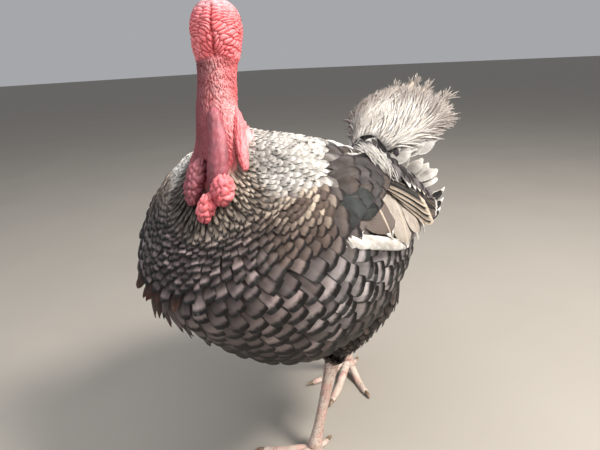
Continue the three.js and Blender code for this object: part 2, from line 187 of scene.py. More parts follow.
def cells(across, along, width, length, seed, around=1000):
    """Heights, 0 in the creases to 1, of rounded cells about `width` by `length`.

    Each cell is the ground nearest to one of a scatter of centres, one in each square of a grid;
    `around` is the number of squares after which the grid repeats across.
    """
    p = np.stack(np.broadcast_arrays(across / width, along / length), -1)
    home = np.floor(p)
    seed = np.asarray(seed, float)
    away = []
    for step in itertools.product((-1, 0, 1), repeat=2):
        square = home + np.array(step)
        own = np.stack([np.mod(square[..., 0], around), square[..., 1]], -1)
        stray = np.stack([hashed(own, seed), hashed(own, seed + 7)], -1) - 0.5
        away.append(np.linalg.norm(p - (square + 0.5 + 0.8 * stray), axis=-1))
    away = np.sort(np.stack(away), axis=0)
    return 1 - (1 - np.clip((away[1] - away[0]) / 0.6, 0, 1)) ** 2.4


def ring_cells(angle, radius, along, count, length, seed):
    """Cells round a tube, `count` of them to a turn so that they meet at its seam."""
    return cells(angle * radius, along, TURN_ROUND * radius / count, length, seed, count)


def wrapped(angle):
    """The same angle between -pi and pi."""
    return (angle + PI) % TURN_ROUND - PI


def colour(red, green, blue):
    """A display colour, 0 to 255 a channel, as linear light."""
    c = np.array([red, green, blue]) / 255
    return np.where(c <= 0.04045, c / 12.92, ((c + 0.055) / 1.055) ** 2.4)


def blend(a, b, share):
    """Colour a, turning into b as share goes from 0 to 1."""
    share = np.asarray(share)[..., None]
    return a * (1 - share) + b * share


# ------------------------------------------------------------------ surfaces
def turned(x, y, z):
    """A point of the neck or head, turned about the neck's axis, more the higher it lies."""
    share = smoothstep(TURN_FROM, TURN_TO, z)
    angle = -TURN * share
    dy = y - NECK_AXIS_Y
    bow = bell(z - BOW_HEIGHT, BOW_REACH)
    return np.stack([HEAD_LEAN * share + NECK_BOW[0] * bow + x * np.cos(angle) - dy * np.sin(angle),
                     NECK_AXIS_Y + NECK_BOW[1] * bow + x * np.sin(angle) + dy * np.cos(angle), z], -1)


def straight_body(station, angle):
    """The body's point at a station and an angle from the back line, before the head turns."""
    back_y, back_z, front_y, front_z, half = np.moveaxis(spline(BODY, station), -1, 0)
    c = np.cos(angle)
    return (-np.sin(angle) * half, (back_y + front_y) / 2 + (back_y - front_y) / 2 * c,
            (back_z + front_z) / 2 + (back_z - front_z) / 2 * c)


def body(station, angle):
    """The body's surface: station runs from the rump to the bill's root, the angle round it."""
    return turned(*straight_body(station, angle))


def wing(row, angle):
    """The left wing's point at a row and an angle from its upper edge, outward and down."""
    y, x, z, high, thick, lean = np.moveaxis(spline(WING, row), -1, 0)
    up, out = high * np.cos(angle), thick * np.sin(angle)
    return np.stack([x - up * np.sin(lean) + out * np.cos(lean), y,
                     z + up * np.cos(lean) + out * np.sin(lean)], -1)


def tube(rows, place=None):
    """A surface round a curve, from rows of x, y, z, half width and half depth."""
    def surface(t, angle):
        """The curve's point at t, plus an ellipse in the plane across the curve there."""
        here = spline(rows, t)
        along = unit(spline(rows, np.minimum(t + 0.05, len(rows) - 1))[..., :3]
                     - spline(rows, np.maximum(t - 0.05, 0))[..., :3])
        level = np.stack([-along[..., 1], along[..., 0], 0 * along[..., 0]], -1)
        steep = np.abs(along[..., 2:]) > 0.75
        across = np.where(steep, np.array([1.0, 0, 0]), unit(level))
        across = unit(across - along * dot(across, along))
        rise = np.cross(along, across)
        p = here[..., :3] + across * (here[..., 3] * np.cos(angle))[..., None] \
            + rise * (here[..., 4] * np.sin(angle))[..., None]
        return p if place is None else place(p[..., 0], p[..., 1], p[..., 2])
    return surface


def fan(rise, far, spread, face=0, lift=0, thick=0, thin=0, cup=0.12):
    """One face of a fan about the tail's root, at shares of its radius and of its spread."""
    def surface(share_out, share_side):
        """A circle's sector that thins outward and sinks with the square of the share aside."""
        angle = spread * share_side
        radius = far * share_out
        half = (thick + (thin - thick) * share_out) / 2 * (1 - 0.6 * share_side ** 2)
        height = face * half + lift - cup * radius * share_side ** 2 \
            + 0.06 * radius * share_out
        out, side = radius * np.cos(angle), radius * np.sin(angle)
        back = out * math.cos(rise) - height * math.sin(rise)
        return TAIL_ROOT + np.stack([
            side * math.cos(TAIL_YAW) + back * math.sin(TAIL_YAW),
            -side * math.sin(TAIL_YAW) + back * math.cos(TAIL_YAW),
            out * math.sin(rise) + height * math.cos(rise)], -1)
    return surface


def wing_of(side):
    """The surface of the left or the right wing, and 1 or -1 for its side."""
    return (wing, 1) if side == "left" else (lambda u, v: wing(u, v) * np.array([-1.0, 1, 1]), -1)


def tangents(surface, u, v, sign=1):
    """Derivatives along u and v, and the unit normal; a sign of -1 turns the normal round."""
    step = 1e-3
    pu = (surface(u + step, v) - surface(u - step, v)) / (2 * step)
    pv = (surface(u, v + step) - surface(u, v - step)) / (2 * step)
    return pu, pv, unit(np.cross(pv, pu)) * sign


# ------------------------------------------------------------------ pieces made of arrays
eye_low, eye_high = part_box("eye_left")
SHIFT = np.array((eye_low + eye_high) / 2) - turned(*EYE) * MM


class Piece:
    """Gathers points and faces in the bird's frame and makes one mesh object of them."""

    def __init__(self):
        self.points, self.corners, self.sizes, self.uvs, self.rims = [], [], [], {}, []
        self.values, self.count = {}, 0

    def add(self, points, faces, uvs, values, rim=None, rect=None):
        """points (N, 3); faces, arrays of point numbers; uvs and values, arrays by name.

        rim marks the points along sharp edges.  rect (left, bottom, width and height) is the place on
        the bake map of a surface that closes on itself, whose last faces go on past 1 across it.
        """
        points = points.reshape(-1, 3)
        for face in faces:
            self.corners.append((face + self.count).ravel())
            self.sizes.append(np.full(len(face), face.shape[1]))
            for name, uv in uvs.items():
                corner = uv.reshape(-1, 2)[face]
                if rect is not None:
                    across = corner[..., 0]
                    over = (across.max(1, keepdims=True) - across) > 0.5
                    corner = corner + np.stack([over, 0 * over], -1)
                    corner = corner * np.array(rect[2:]) + np.array(rect[:2])
                self.uvs.setdefault(name, []).append(corner.reshape(-1, 2))
        for name, value in values.items():
            self.values.setdefault(name, []).append(value.reshape(len(points), 4))
        self.rims.append(np.zeros(len(points), bool) if rim is None else rim.ravel())
        self.points.append(points)
        self.count += len(points)

    def build(self, name, material, slot, replaces=()):
        """Makes the mesh object, smooth but for the rims' sharp edges, and puts it on the frame."""
        points = np.concatenate(self.points) * MM + SHIFT
        corners = np.concatenate(self.corners).astype(np.int32)
        sizes = np.concatenate(self.sizes).astype(np.int32)
        mesh = bpy.data.meshes.new(name)
        mesh.vertices.add(len(points))
        mesh.vertices.foreach_set("co", points.astype(np.float32).ravel())
        mesh.loops.add(len(corners))
        mesh.loops.foreach_set("vertex_index", corners)
        mesh.polygons.add(len(sizes))
        starts = np.concatenate([[0], np.cumsum(sizes)[:-1]]).astype(np.int32)
        mesh.polygons.foreach_set("loop_start", starts)
        mesh.update(calc_edges=True)
        mesh.shade_smooth()
        for key, parts in self.uvs.items():
            layer = mesh.uv_layers.new(name=key)
            layer.uv.foreach_set("vector", np.concatenate(parts).astype(np.float32).ravel())
        for key, parts in self.values.items():
            attribute = mesh.attributes.new(key, "FLOAT_COLOR", "POINT")
            attribute.data.foreach_set("color", np.concatenate(parts).astype(np.float32).ravel())
        rim = np.concatenate(self.rims)
        if rim.any():
            ends = np.empty(len(mesh.edges) * 2, np.int32)
            mesh.edges.foreach_get("vertices", ends)
            ends = ends.reshape(-1, 2)
            sharp = mesh.attributes.new("sharp_edge", "BOOLEAN", "EDGE")
            sharp.data.foreach_set("value", rim[ends[:, 0]] & rim[ends[:, 1]])
        thing = bpy.data.objects.new(name, mesh)
        scene.collection.objects.link(thing)
        mesh.materials.append(material)
        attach(thing, "root")
        if replaces:
            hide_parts(*replaces)


def grid_faces(rows, columns, first=0, capped=True):
    """Faces of a tube of rows by columns points and, if capped, of fans to its two end points."""
    r, c = np.meshgrid(np.arange(rows - 1), np.arange(columns), indexing="ij")
    a = first + r * columns + c
    b = first + r * columns + (c + 1) % columns
    quads = np.stack([a, b, b + columns, a + columns], -1).reshape(-1, 4)
    if not capped:
        return [quads]
    c = np.arange(columns)
    n = (c + 1) % columns
    start = first + rows * columns
    last = first + (rows - 1) * columns
    fans = np.concatenate([np.stack([np.full(columns, start), n + first, c + first], -1),
                           np.stack([np.full(columns, start + 1), last + c, last + n], -1)])
    return [quads, fans]


def circle(count):
    """Angles of `count` even steps round a circle."""
    return np.arange(count) * 2 * PI / count


def with_alpha(rgb, alpha):
    """Colours with a fourth number; either may be one for all."""
    alpha = np.broadcast_to(alpha, np.shape(rgb)[:-1])
    return np.concatenate([rgb, alpha[..., None]], -1)


def closed(points):
    """The points of a closed tube's rows, then the middle of its first and of its last row."""
    ends = np.stack([points[0].mean(0), points[-1].mean(0)])
    return np.concatenate([points.reshape(-1, points.shape[-1]), ends])


def solid_tube(piece, surface, last, rows, columns, shape, rect, start=0.0):
    """Adds a closed tube; shape(t, angle, points) gives its height over the surface and its tint."""
    t, angle = np.meshgrid(np.linspace(start, last, rows), circle(columns), indexing="ij")
    points = surface(t, angle)
    height, tint = shape(t, angle, points)
    points = points + tangents(surface, t, angle)[2] * height[..., None]
    uv = np.stack([angle / TURN_ROUND, (t - start) / (last - start)], -1)
    piece.add(closed(points), grid_faces(rows, columns), {"OFBake": closed(uv)},
              {"tint": closed(tint)}, rect=rect)


# ------------------------------------------------------------------ materials
class Value:
    """A node's output that takes part in Python sums."""

    def __init__(self, nodes, socket):
        self.nodes, self.socket = nodes, socket

    def math(self, operation, *others):
        """A Math node fed by this value and then by the others."""
        return self.nodes.node("ShaderNodeMath", {"operation": operation},
                               dict(enumerate((self, *others))))

    def __add__(self, other):
        return self.math("ADD", other)

    def __mul__(self, other):
        return self.math("MULTIPLY", other)

    def __sub__(self, other):
        return self.math("SUBTRACT", other)

    def __rsub__(self, other):
        return self.nodes.node("ShaderNodeMath", {"operation": "SUBTRACT"}, {0: other, 1: self})

    def __pow__(self, other):
        return self.math("POWER", other)

    __radd__, __rmul__ = __add__, __mul__

    def step(self, low, high):
        """0 below low and 1 above high, with a smooth S between."""
        settings = {"interpolation_type": "SMOOTHSTEP", "clamp": True}
        return self.nodes.node("ShaderNodeMapRange", settings, {0: self, 1: low, 2: high})


class Nodes:
    """A material's node tree, with one method that makes any node."""

    def __init__(self, name):
        self.material = bpy.data.materials.new(name)
        self.material.use_nodes = True
        self.tree = self.material.node_tree
        self.tree.nodes.clear()

    def node(self, kind, settings=None, inputs=None, output=0):
        """A node of a type, with its settings, then its sockets' values or links; gives one output."""
        made = self.tree.nodes.new(kind)
        for key, value in (settings or {}).items():
            setattr(made, key, value)
        for key, value in (inputs or {}).items():
            if isinstance(value, Value):
                self.tree.links.new(value.socket, made.inputs[key])
            else:
                made.inputs[key].default_value = value
        return None if output is None else Value(self, made.outputs[output])

    def mix(self, a, b, share, way="MIX"):
        """Two colours mixed; each is a Value or three numbers."""
        a, b = ((*c, 1) if not isinstance(c, Value) else c for c in (a, b))
        settings = {"data_type": "RGBA", "blend_type": way, "clamp_factor": True}
        return self.node("ShaderNodeMix", settings, {0: share, 6: a, 7: b}, 2)

    def times(self, a, b, share=1.0):
        """Colour a multiplied by b, for a share of it."""
        return self.mix(a, b, share, "MULTIPLY")

    def attribute(self, name, output="Color"):
        """What the mesh's attribute holds."""
        return self.node("ShaderNodeAttribute", {"attribute_name": name}, None, output)

    def split(self, name):
        """The four numbers that a colour attribute holds."""
        colours = self.attribute(name)
        parts = [self.node("ShaderNodeSeparateColor", None, {0: colours}, i) for i in range(3)]
        return [*parts, self.attribute(name, "Alpha")]

    def cloud(self, scale, detail=3, stretch=None):
        """Noise from 0 to 1 over the piece's own coordinates."""
        place = self.node("ShaderNodeTexCoord", None, None, "Object")
        if stretch:
            place = self.node("ShaderNodeVectorMath", {"operation": "MULTIPLY"}, {0: place, 1: stretch})
        return self.node("ShaderNodeTexNoise", None,
                         {"Vector": place, "Scale": scale, "Detail": detail}, "Fac")

    def finish(self, colours, rough, height=None, depth=0.0005, **constants):
        """Ends the tree in one Principled shader; constants are set on its own sockets."""
        inputs = {"Base Color": colours, "Roughness": rough}
        if height is not None:
            inputs["Normal"] = self.node("ShaderNodeBump", None, {
                "Height": height, "Distance": depth, "Strength": 1.0})
        inputs.update({key.replace("_", " "): value for key, value in constants.items()})
        shader = self.node("ShaderNodeBsdfPrincipled", None, inputs)
        self.node("ShaderNodeOutputMaterial", None, {"Surface": shader}, None)
        return self.material


def skin_material():
    """Bare skin: the tint is darkened by its alpha, painted shade in the creases, and speckled by fine
    noise.
    """
    n = Nodes("bare_skin")
    tint = n.attribute("tint")
    crease = n.attribute("tint", "Alpha")
    pores = n.cloud(900, 2)
    blotch = n.cloud(60, 3)
    # painted shade: the alpha darkens the creases toward a deep red
    shade = n.mix(tint, n.times(tint, (0.45, 0.08, 0.09), 0.75), crease)
    shade = n.mix(shade, n.times(shade, (1.0, 0.78, 0.78)), blotch.step(0.45, 0.7))
    return n.finish(shade, 0.42 + 0.2 * pores, pores, Subsurface_Weight=0.12, Subsurface_Scale=0.004,
                    Subsurface_Radius=(1.0, 0.35, 0.25), Specular_IOR_Level=0.45)


def feather_material(name, rough, gloss, sheen=0.0, side_edge=0.93, barb=34, ruled=0.8, clouded=0.7,
                     root=0.6):
    """Vanes: base colour, fringe at tip and sides, cross bars, dark flecks, shaft and barbs.

    The vane map runs 0 to 1 across and from root to tip; base, edge and marks are each vane's own.
    barb counts the barbs along a vane; ruled, clouded and root say how dark its barbs, clouds and
    the painted shade on the part under the next row leave it; side_edge is how much of the fringe its
    sides show.
    """
    n = Nodes(name)
    place = n.node("ShaderNodeUVMap", {"uv_map": "vane"})
    x, along = (n.node("ShaderNodeSeparateXYZ", None, {0: place}, i) for i in range(2))
    across = (2 * x - 1).math("ABSOLUTE")
    base, own = n.attribute("base"), n.attribute("base", "Alpha")
    edge, fringe = n.attribute("edge"), n.attribute("edge", "Alpha")
    bars, count, flecks, shaft = n.split("marks")
    rough_edge = n.cloud(260, 2)
    reach = (along + 0.10 * (rough_edge - 0.5)).math("MAXIMUM", across * side_edge)
    rim = reach.step(1 - fringe, 1 - fringe * 0.45)
    wave = (along * count * 20 - across ** 2 * 0.5 + own + 0.5 * (rough_edge - 0.5)) * 2 * PI
    bar = wave.math("SINE").step(-0.1, 0.25) * bars
    spots = (across + 0.8 * (rough_edge - 0.5)).step(0.7, 0.35) * along.step(0.66, 0.76) \
        * along.step(0.98, 0.88) * flecks
    barbs = ((along * barb + across * barb * 0.45 + own * 9 + rough_edge * 1.5) * 2 * PI).math("SINE")
    worn = n.times(base, (clouded, clouded * 0.97, clouded * 0.94))
    shade = n.mix(base, worn, n.cloud(45, 3).step(0.4, 0.7))
    # painted shade: the root part, under the next row, darkened by root
    shade = n.mix(shade, n.times(shade, (root, root, root)), along.step(0.8, 0.56))
    shade = n.mix(shade, edge, rim)
    shade = n.mix(shade, (0.018, 0.014, 0.013), (bar + spots).math("MINIMUM", 1.0))
    shade = n.mix(shade, n.times(shade, (ruled, ruled * 0.99, ruled * 0.98)), barbs.step(0.2, 0.9))
    shade = n.mix(shade, (0.5, 0.4, 0.32), across.step(0.07, 0.03) * shaft)
    return n.finish(shade, rough + 0.12 * rough_edge, barbs * (0.5 + 0.5 * rough_edge), 0.0002,
                    Specular_IOR_Level=gloss, Sheen_Weight=sheen, Sheen_Roughness=0.4)


def horn_material():
    """Horn: its tint, streaked darker along its height."""
    n = Nodes("worn_horn")
    tint = n.attribute("tint")
    streaks = n.cloud(300, 3, (1, 1, 0.3))
    shade = n.mix(tint, n.times(tint, (0.6, 0.5, 0.42)), streaks.step(0.4, 0.65))
    return n.finish(shade, 0.32 + 0.2 * streaks, streaks, 0.0003)


def eye_material():
    """A wet eye whose tint holds the iris's and pupil's colours."""
    n = Nodes("wet_eye")
    return n.finish(n.attribute("tint"), 0.08, Coat_Weight=1.0, Coat_Roughness=0.02)


SKIN = skin_material()
VANE = feather_material("vane", 0.45, 0.3)
GLOSSY = feather_material("glossy_vane", 0.34, 0.28)
QUILL = feather_material("quill_vane", 0.48, 0.45, side_edge=0.9, barb=22, ruled=0.62, root=1.0)
DOWN = feather_material("down", 0.7, 0.2, 0.3, clouded=0.92, ruled=0.94, root=0.9)
HORN = horn_material()
WET = eye_material()


# ------------------------------------------------------------------ markings
PINK, RED, ROSE = colour(222, 122, 126), colour(200, 78, 86), colour(240, 184, 184)
CROWN, VIOLET = colour(182, 148, 152), colour(164, 108, 128)
# DUSKY: painted shade on the neck's shaded side, the dewlap and the right caruncle; also the lids' own
# dark rim
DUSKY, CORAL = colour(134, 74, 82), colour(216, 108, 118)
CHARCOAL, SOOT, BRONZE = colour(58, 51, 50), colour(24, 21, 21), colour(134, 115, 105)
CREAM, WHITE, SLATE = colour(226, 207, 186), colour(240, 235, 228), colour(112, 106, 106)
RUST, GREEN_BLACK, GREY_BROWN = colour(92, 54, 42), colour(55, 58, 57), colour(150, 132, 122)
LEG, LEG_EDGE, HORN_TINT = colour(186, 170, 158), colour(118, 96, 88), colour(150, 128, 104)
BILL_ROOT, BILL_TIP = colour(150, 92, 84), colour(214, 196, 168)
IRIS_DARK, IRIS_LIGHT = colour(64, 38, 24), colour(112, 72, 44)
PUPIL, EYE_RIM = colour(6, 5, 5), colour(26, 16, 14)


def collar_height(points):
    """Height above the sloping line where the neck's feathers end."""
    return -0.64 * points[..., 1] + 0.768 * points[..., 2] - 513


def regions(points):
    """Shares of the body's plumage: white mantle, striped collar, brown back, pale-edged rump."""
    x, y, z = np.moveaxis(points, -1, 0)
    wander = 9 * noise(points, 38, 5)
    mantle = smoothstep(-4, 5, z - 470 - 0.3 * (y + 200) + 0.7 * wander) * smoothstep(-248, -222, y)
    collar = smoothstep(-200, -218, y + 0.5 * wander) \
        * smoothstep(-15, -5, collar_height(points) + 0.12 * (x - 20))
    brown = smoothstep(405, 430, z + wander) * smoothstep(-262, -228, y + wander) \
        * (1 - mantle) * (1 - collar)
    rump = smoothstep(70, 112, y) * smoothstep(372, 398, z)
    return mantle, collar, brown, rump


def scapulars(points):
    """Share of the broad feathers that lie over the wing's root."""
    _, y, z = np.moveaxis(points, -1, 0)
    return smoothstep(-185, -161, y - 0.6 * (z - 470)) * smoothstep(120, 60, y)


def plumage(points, own):
    """Base, edge and marks of a feather at each point; own is a number from 0 to 1 of its own."""
    mantle, collar, brown, rump = regions(points)
    broad = scapulars(points) * brown
    x, y, z = np.moveaxis(points, -1, 0)
    # The flanks are lighter grey than the breast: partly their own tone, partly painted light for the
    # light on the bird's sides.
    flank = smoothstep(-262, -190, y) * smoothstep(270, 350, z) * smoothstep(20, 110, np.abs(x))
    base = blend(CHARCOAL * 5.6, SLATE * 2.0, flank)
    # darker and browner toward the belly: its own duller tone and painted shade on the underside
    base = blend(base, CHARCOAL * np.array([0.62, 0.42, 0.38]), smoothstep(325, 240, z))
    base = blend(base, RUST * 0.5, smoothstep(270, 215, z) * (own > 0.6))
    base = blend(base, blend(BRONZE, GREY_BROWN, 0.2), brown)
    base = blend(base, SLATE * 0.5, broad * (0.4 + 0.6 * own))
    pale = brown * (1 - broad) * smoothstep(436, 460, z) * smoothstep(-158, -190, y)
    base = blend(base, CREAM, 0.9 * pale * (own > 0.3))
    base = blend(base, blend(CREAM, WHITE, smoothstep(458, 480, z)), mantle)
    # painted shade: the collar's stripes darker on the bird's right side
    collar_shading = 0.3 + 0.5 * smoothstep(0, 45, x)
    base = blend(base, CREAM * collar_shading[..., None], 0.9 * collar)
    base = blend(base, SLATE * 0.95, rump)
    plain = (1 - mantle) * (1 - collar) * (1 - pale)
    # plain feathers: random tone, stretched by own squared into painted glossy highlights on single
    # feathers
    base = base * (0.62 + 0.32 * mantle + 0.3 * own * (mantle + 2 * collar + 2 * pale)
                   + plain * (1 - 0.5 * brown) * (1.35 * own ** 2 - 0.12))[..., None]
    edge = blend(SOOT * 0.7, SOOT * 2.2, brown)
    edge = blend(edge, BRONZE * 0.5, pale)
    edge = blend(edge, WHITE * 0.9, mantle * (own > 0.2))
    edge = blend(edge, SOOT * 0.8, collar)
    edge = blend(edge, WHITE, np.maximum(rump, broad * smoothstep(-95, -70, y) * (own > 0.35)))
    fringe = 0.17 + 0.08 * own + 0.16 * collar + 0.06 * rump - 0.03 * brown
    shaft = 0.8 * collar
    flecks = 0.7 * mantle * (own < 0.27)
    return (with_alpha(base, own), with_alpha(edge, fringe),
            np.stack([0 * own, 0 * own + 0.15, flecks, shaft], -1))


# ------------------------------------------------------------------ the one skin
COAT_DEPTH = 10.0                # how far the feathered skin lies below the coat's outline
COLUMNS, FINER = 200, 5          # points round the neck and head, for each one round the trunk
NECK_START, HEAD_START = 10.6, 15.4      # stations where the rows become finer


def back_length(station):
    """Length in mm along the back line from station 10 to here."""
    fine = np.linspace(10, LAST + 0.2, 400)
    line = spline(BODY, fine)[:, :2]
    run = np.concatenate([[0], np.cumsum(np.linalg.norm(np.diff(line, axis=0), axis=1))])
    return np.interp(station, fine, run)


def under_feathers(points):
    """Tint of the skin below the coat: the feathers' own colours, darkened a little as painted shade
    under the coat.
    """
    return plumage(points, 0.5 + 0.5 * noise(points, 9, 31))[0][..., :3] * 0.8


def body_skin(station, angle):
    """Depth or height of the skin on the body's surface, and its tint with creases in alpha.

    Feathered skin lies a coat's depth inside.  The bare head has rounded folds that run from
    outside and above to a groove down its back; the nape is beaded and the throat finely lined.
    """
    x, y, z = straight_body(station, angle)
    points = turned(x, y, z)
    straight = np.stack([x, y, z], -1)
    side = np.arctan2(np.sin(angle), np.cos(angle))      # 0 on the back line, up to pi in front
    lateral = HEAD_RADIUS * side
    spread = np.abs(lateral)
    run = back_length(station)
    bare = smoothstep(-3, 8, collar_height(points) + 4 * noise(points, 14, 2))
    warp, slow_warp = 2.2 * noise(straight, 10, 11), 3.0 * noise(straight, 15, 12)
    head = smoothstep(607, 613, z + 0.12 * spread + 0.5 * warp)
    neck = (1 - head) * bare
    behind = smoothstep(2.3, 1.7, np.abs(side)) * head
    # herringbone folds of the back of the head, steep below and level on the crown
    tilt = 0.78 - 0.62 * smoothstep(628, 668, z)
    up = run - 112
    folds = cells(up * np.cos(tilt) - spread * np.sin(tilt) + 1.2 * warp,
                  spread * np.cos(tilt) + up * np.sin(tilt) + slow_warp, 4.3, 14,
                  np.where(lateral > 0, 1.0, 2.0))
    groove = bell(lateral + 0.9 * warp, 1.8) * smoothstep(670, 660, z)
    # small knobs of the face, and long beads down the neck that turn half as fast as it does
    knobs = ring_cells(side, HEAD_RADIUS, run + slow_warp, 46, 4.4, 4.0)
    centre = turned(0 * z, NECK_AXIS_Y + 0 * z, z)
    azimuth = np.arctan2(points[..., 1] - centre[..., 1], points[..., 0] - centre[..., 0])
    strand_at = azimuth + (0.09 * warp + 0.011 * (z - 560))
    strands = ring_cells(strand_at, HEAD_RADIUS, run + 1.2 * slow_warp, 62, 12, 6.0)
    fine = ring_cells(strand_at, HEAD_RADIUS, run + slow_warp, 90, 5.0, 9.0)
    nape = smoothstep(1.6, 1.1, np.abs(side + 0.1)) * (1 - head) * bare
    band = bell(side + 0.25, 0.5) * nape
    # the ground near the eye is calm and sinks to its socket; the ear is a hole behind it
    from_eye = np.sqrt((y - EYE[1]) ** 2 + (1.15 * (z - EYE[2])) ** 2
                       + 0.1 * (np.abs(x) - EYE[0]) ** 2) + 60 * (np.abs(x) < 8)
    calm = smoothstep(9, 15, from_eye)
    ear = bell(np.hypot(y + 187, z - 634) + 60 * (np.abs(x) < 15), 3.2)
    height = head * (behind * (3.0 * folds - 1.9) + (1 - behind) * (1.3 * knobs - 0.8)) * calm
    height = height - 2.6 * groove * head - 3.0 * ear * head
    height = height + neck * (1.9 * strands * (0.35 + 0.65 * nape) + 0.7 * fine - 1.6
                              + 2.2 * band - 1.8 * bell(side - 0.55, 0.3))
    height = height - 4.5 * smoothstep(7.5, 5.0, from_eye)
    height = height - COAT_DEPTH * (1 - bare)
    # The crease alpha is painted shade: folds, knobs, groove, strand gaps, the ear's hole and the head's
    # lower edge.
    crease = head * (behind * smoothstep(0.5, 0.05, folds)
                     + (1 - behind) * 0.7 * smoothstep(0.5, 0.05, knobs))
    crease = np.maximum(crease * calm, groove * head)
    crease = crease + neck * (0.55 * smoothstep(0.55, 0.05, strands)
                              + 0.3 * smoothstep(0.4, 0.0, fine))
    crease = crease + ear * head + 0.6 * bell(z - 608 + 0.12 * spread, 4) * bare
    tint = blend(PINK, RED, smoothstep(-0.4, 0.6, noise(straight, 22, 21)) * 0.6)
    tint = blend(tint, CROWN, smoothstep(655, 670, z + 3 * warp) * 0.9)
    tint = blend(tint, RED * 0.8, (1 - head) * 0.75)
    tint = blend(tint, ROSE * 0.75, np.clip(nape * 0.3 + band * 0.5, 0, 1) * (0.4 + 0.6 * strands))
    # painted shade: the front and right side of the bare neck, turned from the key light, tinted dusky
    tint = blend(tint, DUSKY * 0.75, bell(wrapped(azimuth + 1.8), 0.95) * neck * 0.9)
    tint = blend(tint, VIOLET, 0.55 * smoothstep(16, 9, from_eye) + 0.35 * (1 - behind) * head)
    return height, with_alpha(blend(under_feathers(points), tint, bare), np.clip(crease, 0, 1))


def lobe(wrinkle, size, seed, tint, tint_2, beads=0.0):
    """A wattle's shape: rounded knobs `wrinkle` high and `size` across, and two clouded tints."""
    def shape(t, angle, points):
        """Cells' domes plus small beads and noise, sunk where the fold is rooted."""
        warp = 0.3 * size * noise(points, size, seed)
        turn = np.cos(angle) * size * 1.4 + 0.3 * points[..., 1]
        knobs = cells(turn + warp + 0.6 * points[..., 0], points[..., 2] + warp, size, size * 1.15, seed)
        small = ring_cells(angle, 9, points[..., 2] + 2 * warp, 16, 7, seed + 3)
        rgb = blend(tint, tint_2, smoothstep(-0.3, 0.5, noise(points, 12, seed + 9)))
        # the crease alpha is painted shade in the creases between knobs and beads
        crease = 0.9 * smoothstep(0.4, 0.02, knobs) * min(1.0, wrinkle) \
            + beads * smoothstep(0.5, 0.1, small)
        height = wrinkle * (3.0 * knobs - 2.0) + 1.4 * beads * small \
            + 0.35 * noise(points, 2.5, seed + 5) - 4.0 * smoothstep(0.7, 0.0, t)
        return height, with_alpha(rgb, np.clip(crease, 0, 1))
    return shape


def scutes(radius, step, plate, front, seed):
    """Leg skin: a double row of broad plates in front, small round scales behind.

    radius is the leg's, step the length of one step of t, plate that of a plate, and front the
    angle that faces ahead.
    """
    def shape(t, angle, points):
        """Slanted cells either side of the front line, and rings of small cells elsewhere."""
        run = t * step
        turn = wrapped(angle - front)
        ahead = smoothstep(1.75, 1.35, np.abs(turn))
        split = np.abs(turn) * radius
        broad = cells(split, run + 0.5 * split + noise(points, 6, seed), radius * 1.5, plate,
                      np.where(turn > 0, seed, seed + 1.0))
        small = ring_cells(angle, radius, run, 22, 2.8, seed + 2)
        plates = (ahead * broad + (1 - ahead) * small) * (1 - bell(turn, 0.09))
        crease = smoothstep(0.45, 0.05, plates)
        rgb = blend(LEG, LEG * np.array([0.86, 0.76, 0.74]),
                    smoothstep(-0.2, 0.5, noise(points, 16, seed + 4)))
        rgb = blend(rgb, LEG_EDGE, 0.8 * crease)
        # the alpha darkens the scales' creases further: painted shade
        return 0.8 * plates - 0.5, with_alpha(rgb, 0.25 * crease)
    return shape


def under_coat(depth):
    """Smooth skin that lies `depth` below the feathers' surface."""
    def shape(t, angle, points):
        """The same depth everywhere, in the tints of what lies over it."""
        return 0 * t - depth, with_alpha(under_feathers(points), 0.0)
    return shape


def toe_rows(leg, toe):
    """Rows of a toe, from the foot's ball out to its tip, and of its claw."""
    angle = math.radians((leg["heading"] + toe["angle"]) * leg["inward"])
    ball_x, ball_y = leg["shank"][-1][:2]
    length, radius, rest = toe["length"], toe["radius"], SOLE_HEIGHT

    def at(distance, height, half):
        """A row at a distance from the ball, nearly round."""
        return [ball_x + distance * math.sin(angle), ball_y - distance * math.cos(angle),
                height, half, half * 0.9]
    toes = [at(2, leg["ball"], radius * 1.1), at(0.3 * length, (leg["ball"] + rest) / 2 + 1, radius),
            at(0.6 * length, rest + 0.3, radius * 0.95), at(0.9 * length, rest, radius * 0.85),
            at(length, rest, radius * 0.6)]
    claw = [at(length - 5, rest + 1, 3.6), at(length + 0.5 * toe["claw"], rest + 1.5, 2.9),
            at(length + toe["claw"], 2.4, 0.8)]
    return toes, claw


def floored(surface):
    """The same surface, pressed flat where it would pass below the floor."""
    def pressed(u, v):
        """The surface's x and y, and the larger of its z and a hair's height."""
        p = surface(u, v)
        return np.concatenate([p[..., :2], np.maximum(p[..., 2:], 0.15)], -1)
    return pressed


def toe_shape(length, seed):
    """Toe skin: narrow plates across its top, soft round pads below, smooth where it rests."""
    def shape(t, angle, points):
        """Cells as wide as the toe on top, round ones below, and none at the floor."""
        run = t / 4 * length
        turn = wrapped(angle - PI / 2)
        top = smoothstep(1.7, 1.2, np.abs(turn))
        plates = cells(0.5 + 0.15 * turn, run + 0.5 * noise(points, 5, seed), 1.0, 3.0, seed)
        pads = cells(turn * 6, run, 6.0, 6.0, seed + 1)
        crease = top * smoothstep(0.45, 0.05, plates)
        rgb = blend(LEG, LEG_EDGE, 0.6 * crease + 0.2 * smoothstep(0, 0.5, noise(points, 9, seed)))
        height = top * (0.7 * plates - 0.4) + (1 - top) * (1.0 * pads - 0.8)
        # the alpha darkens the plates' creases further: painted shade
        return np.where(points[..., 2] < 0.5, 0.0, height), with_alpha(rgb, 0.25 * crease)
    return shape


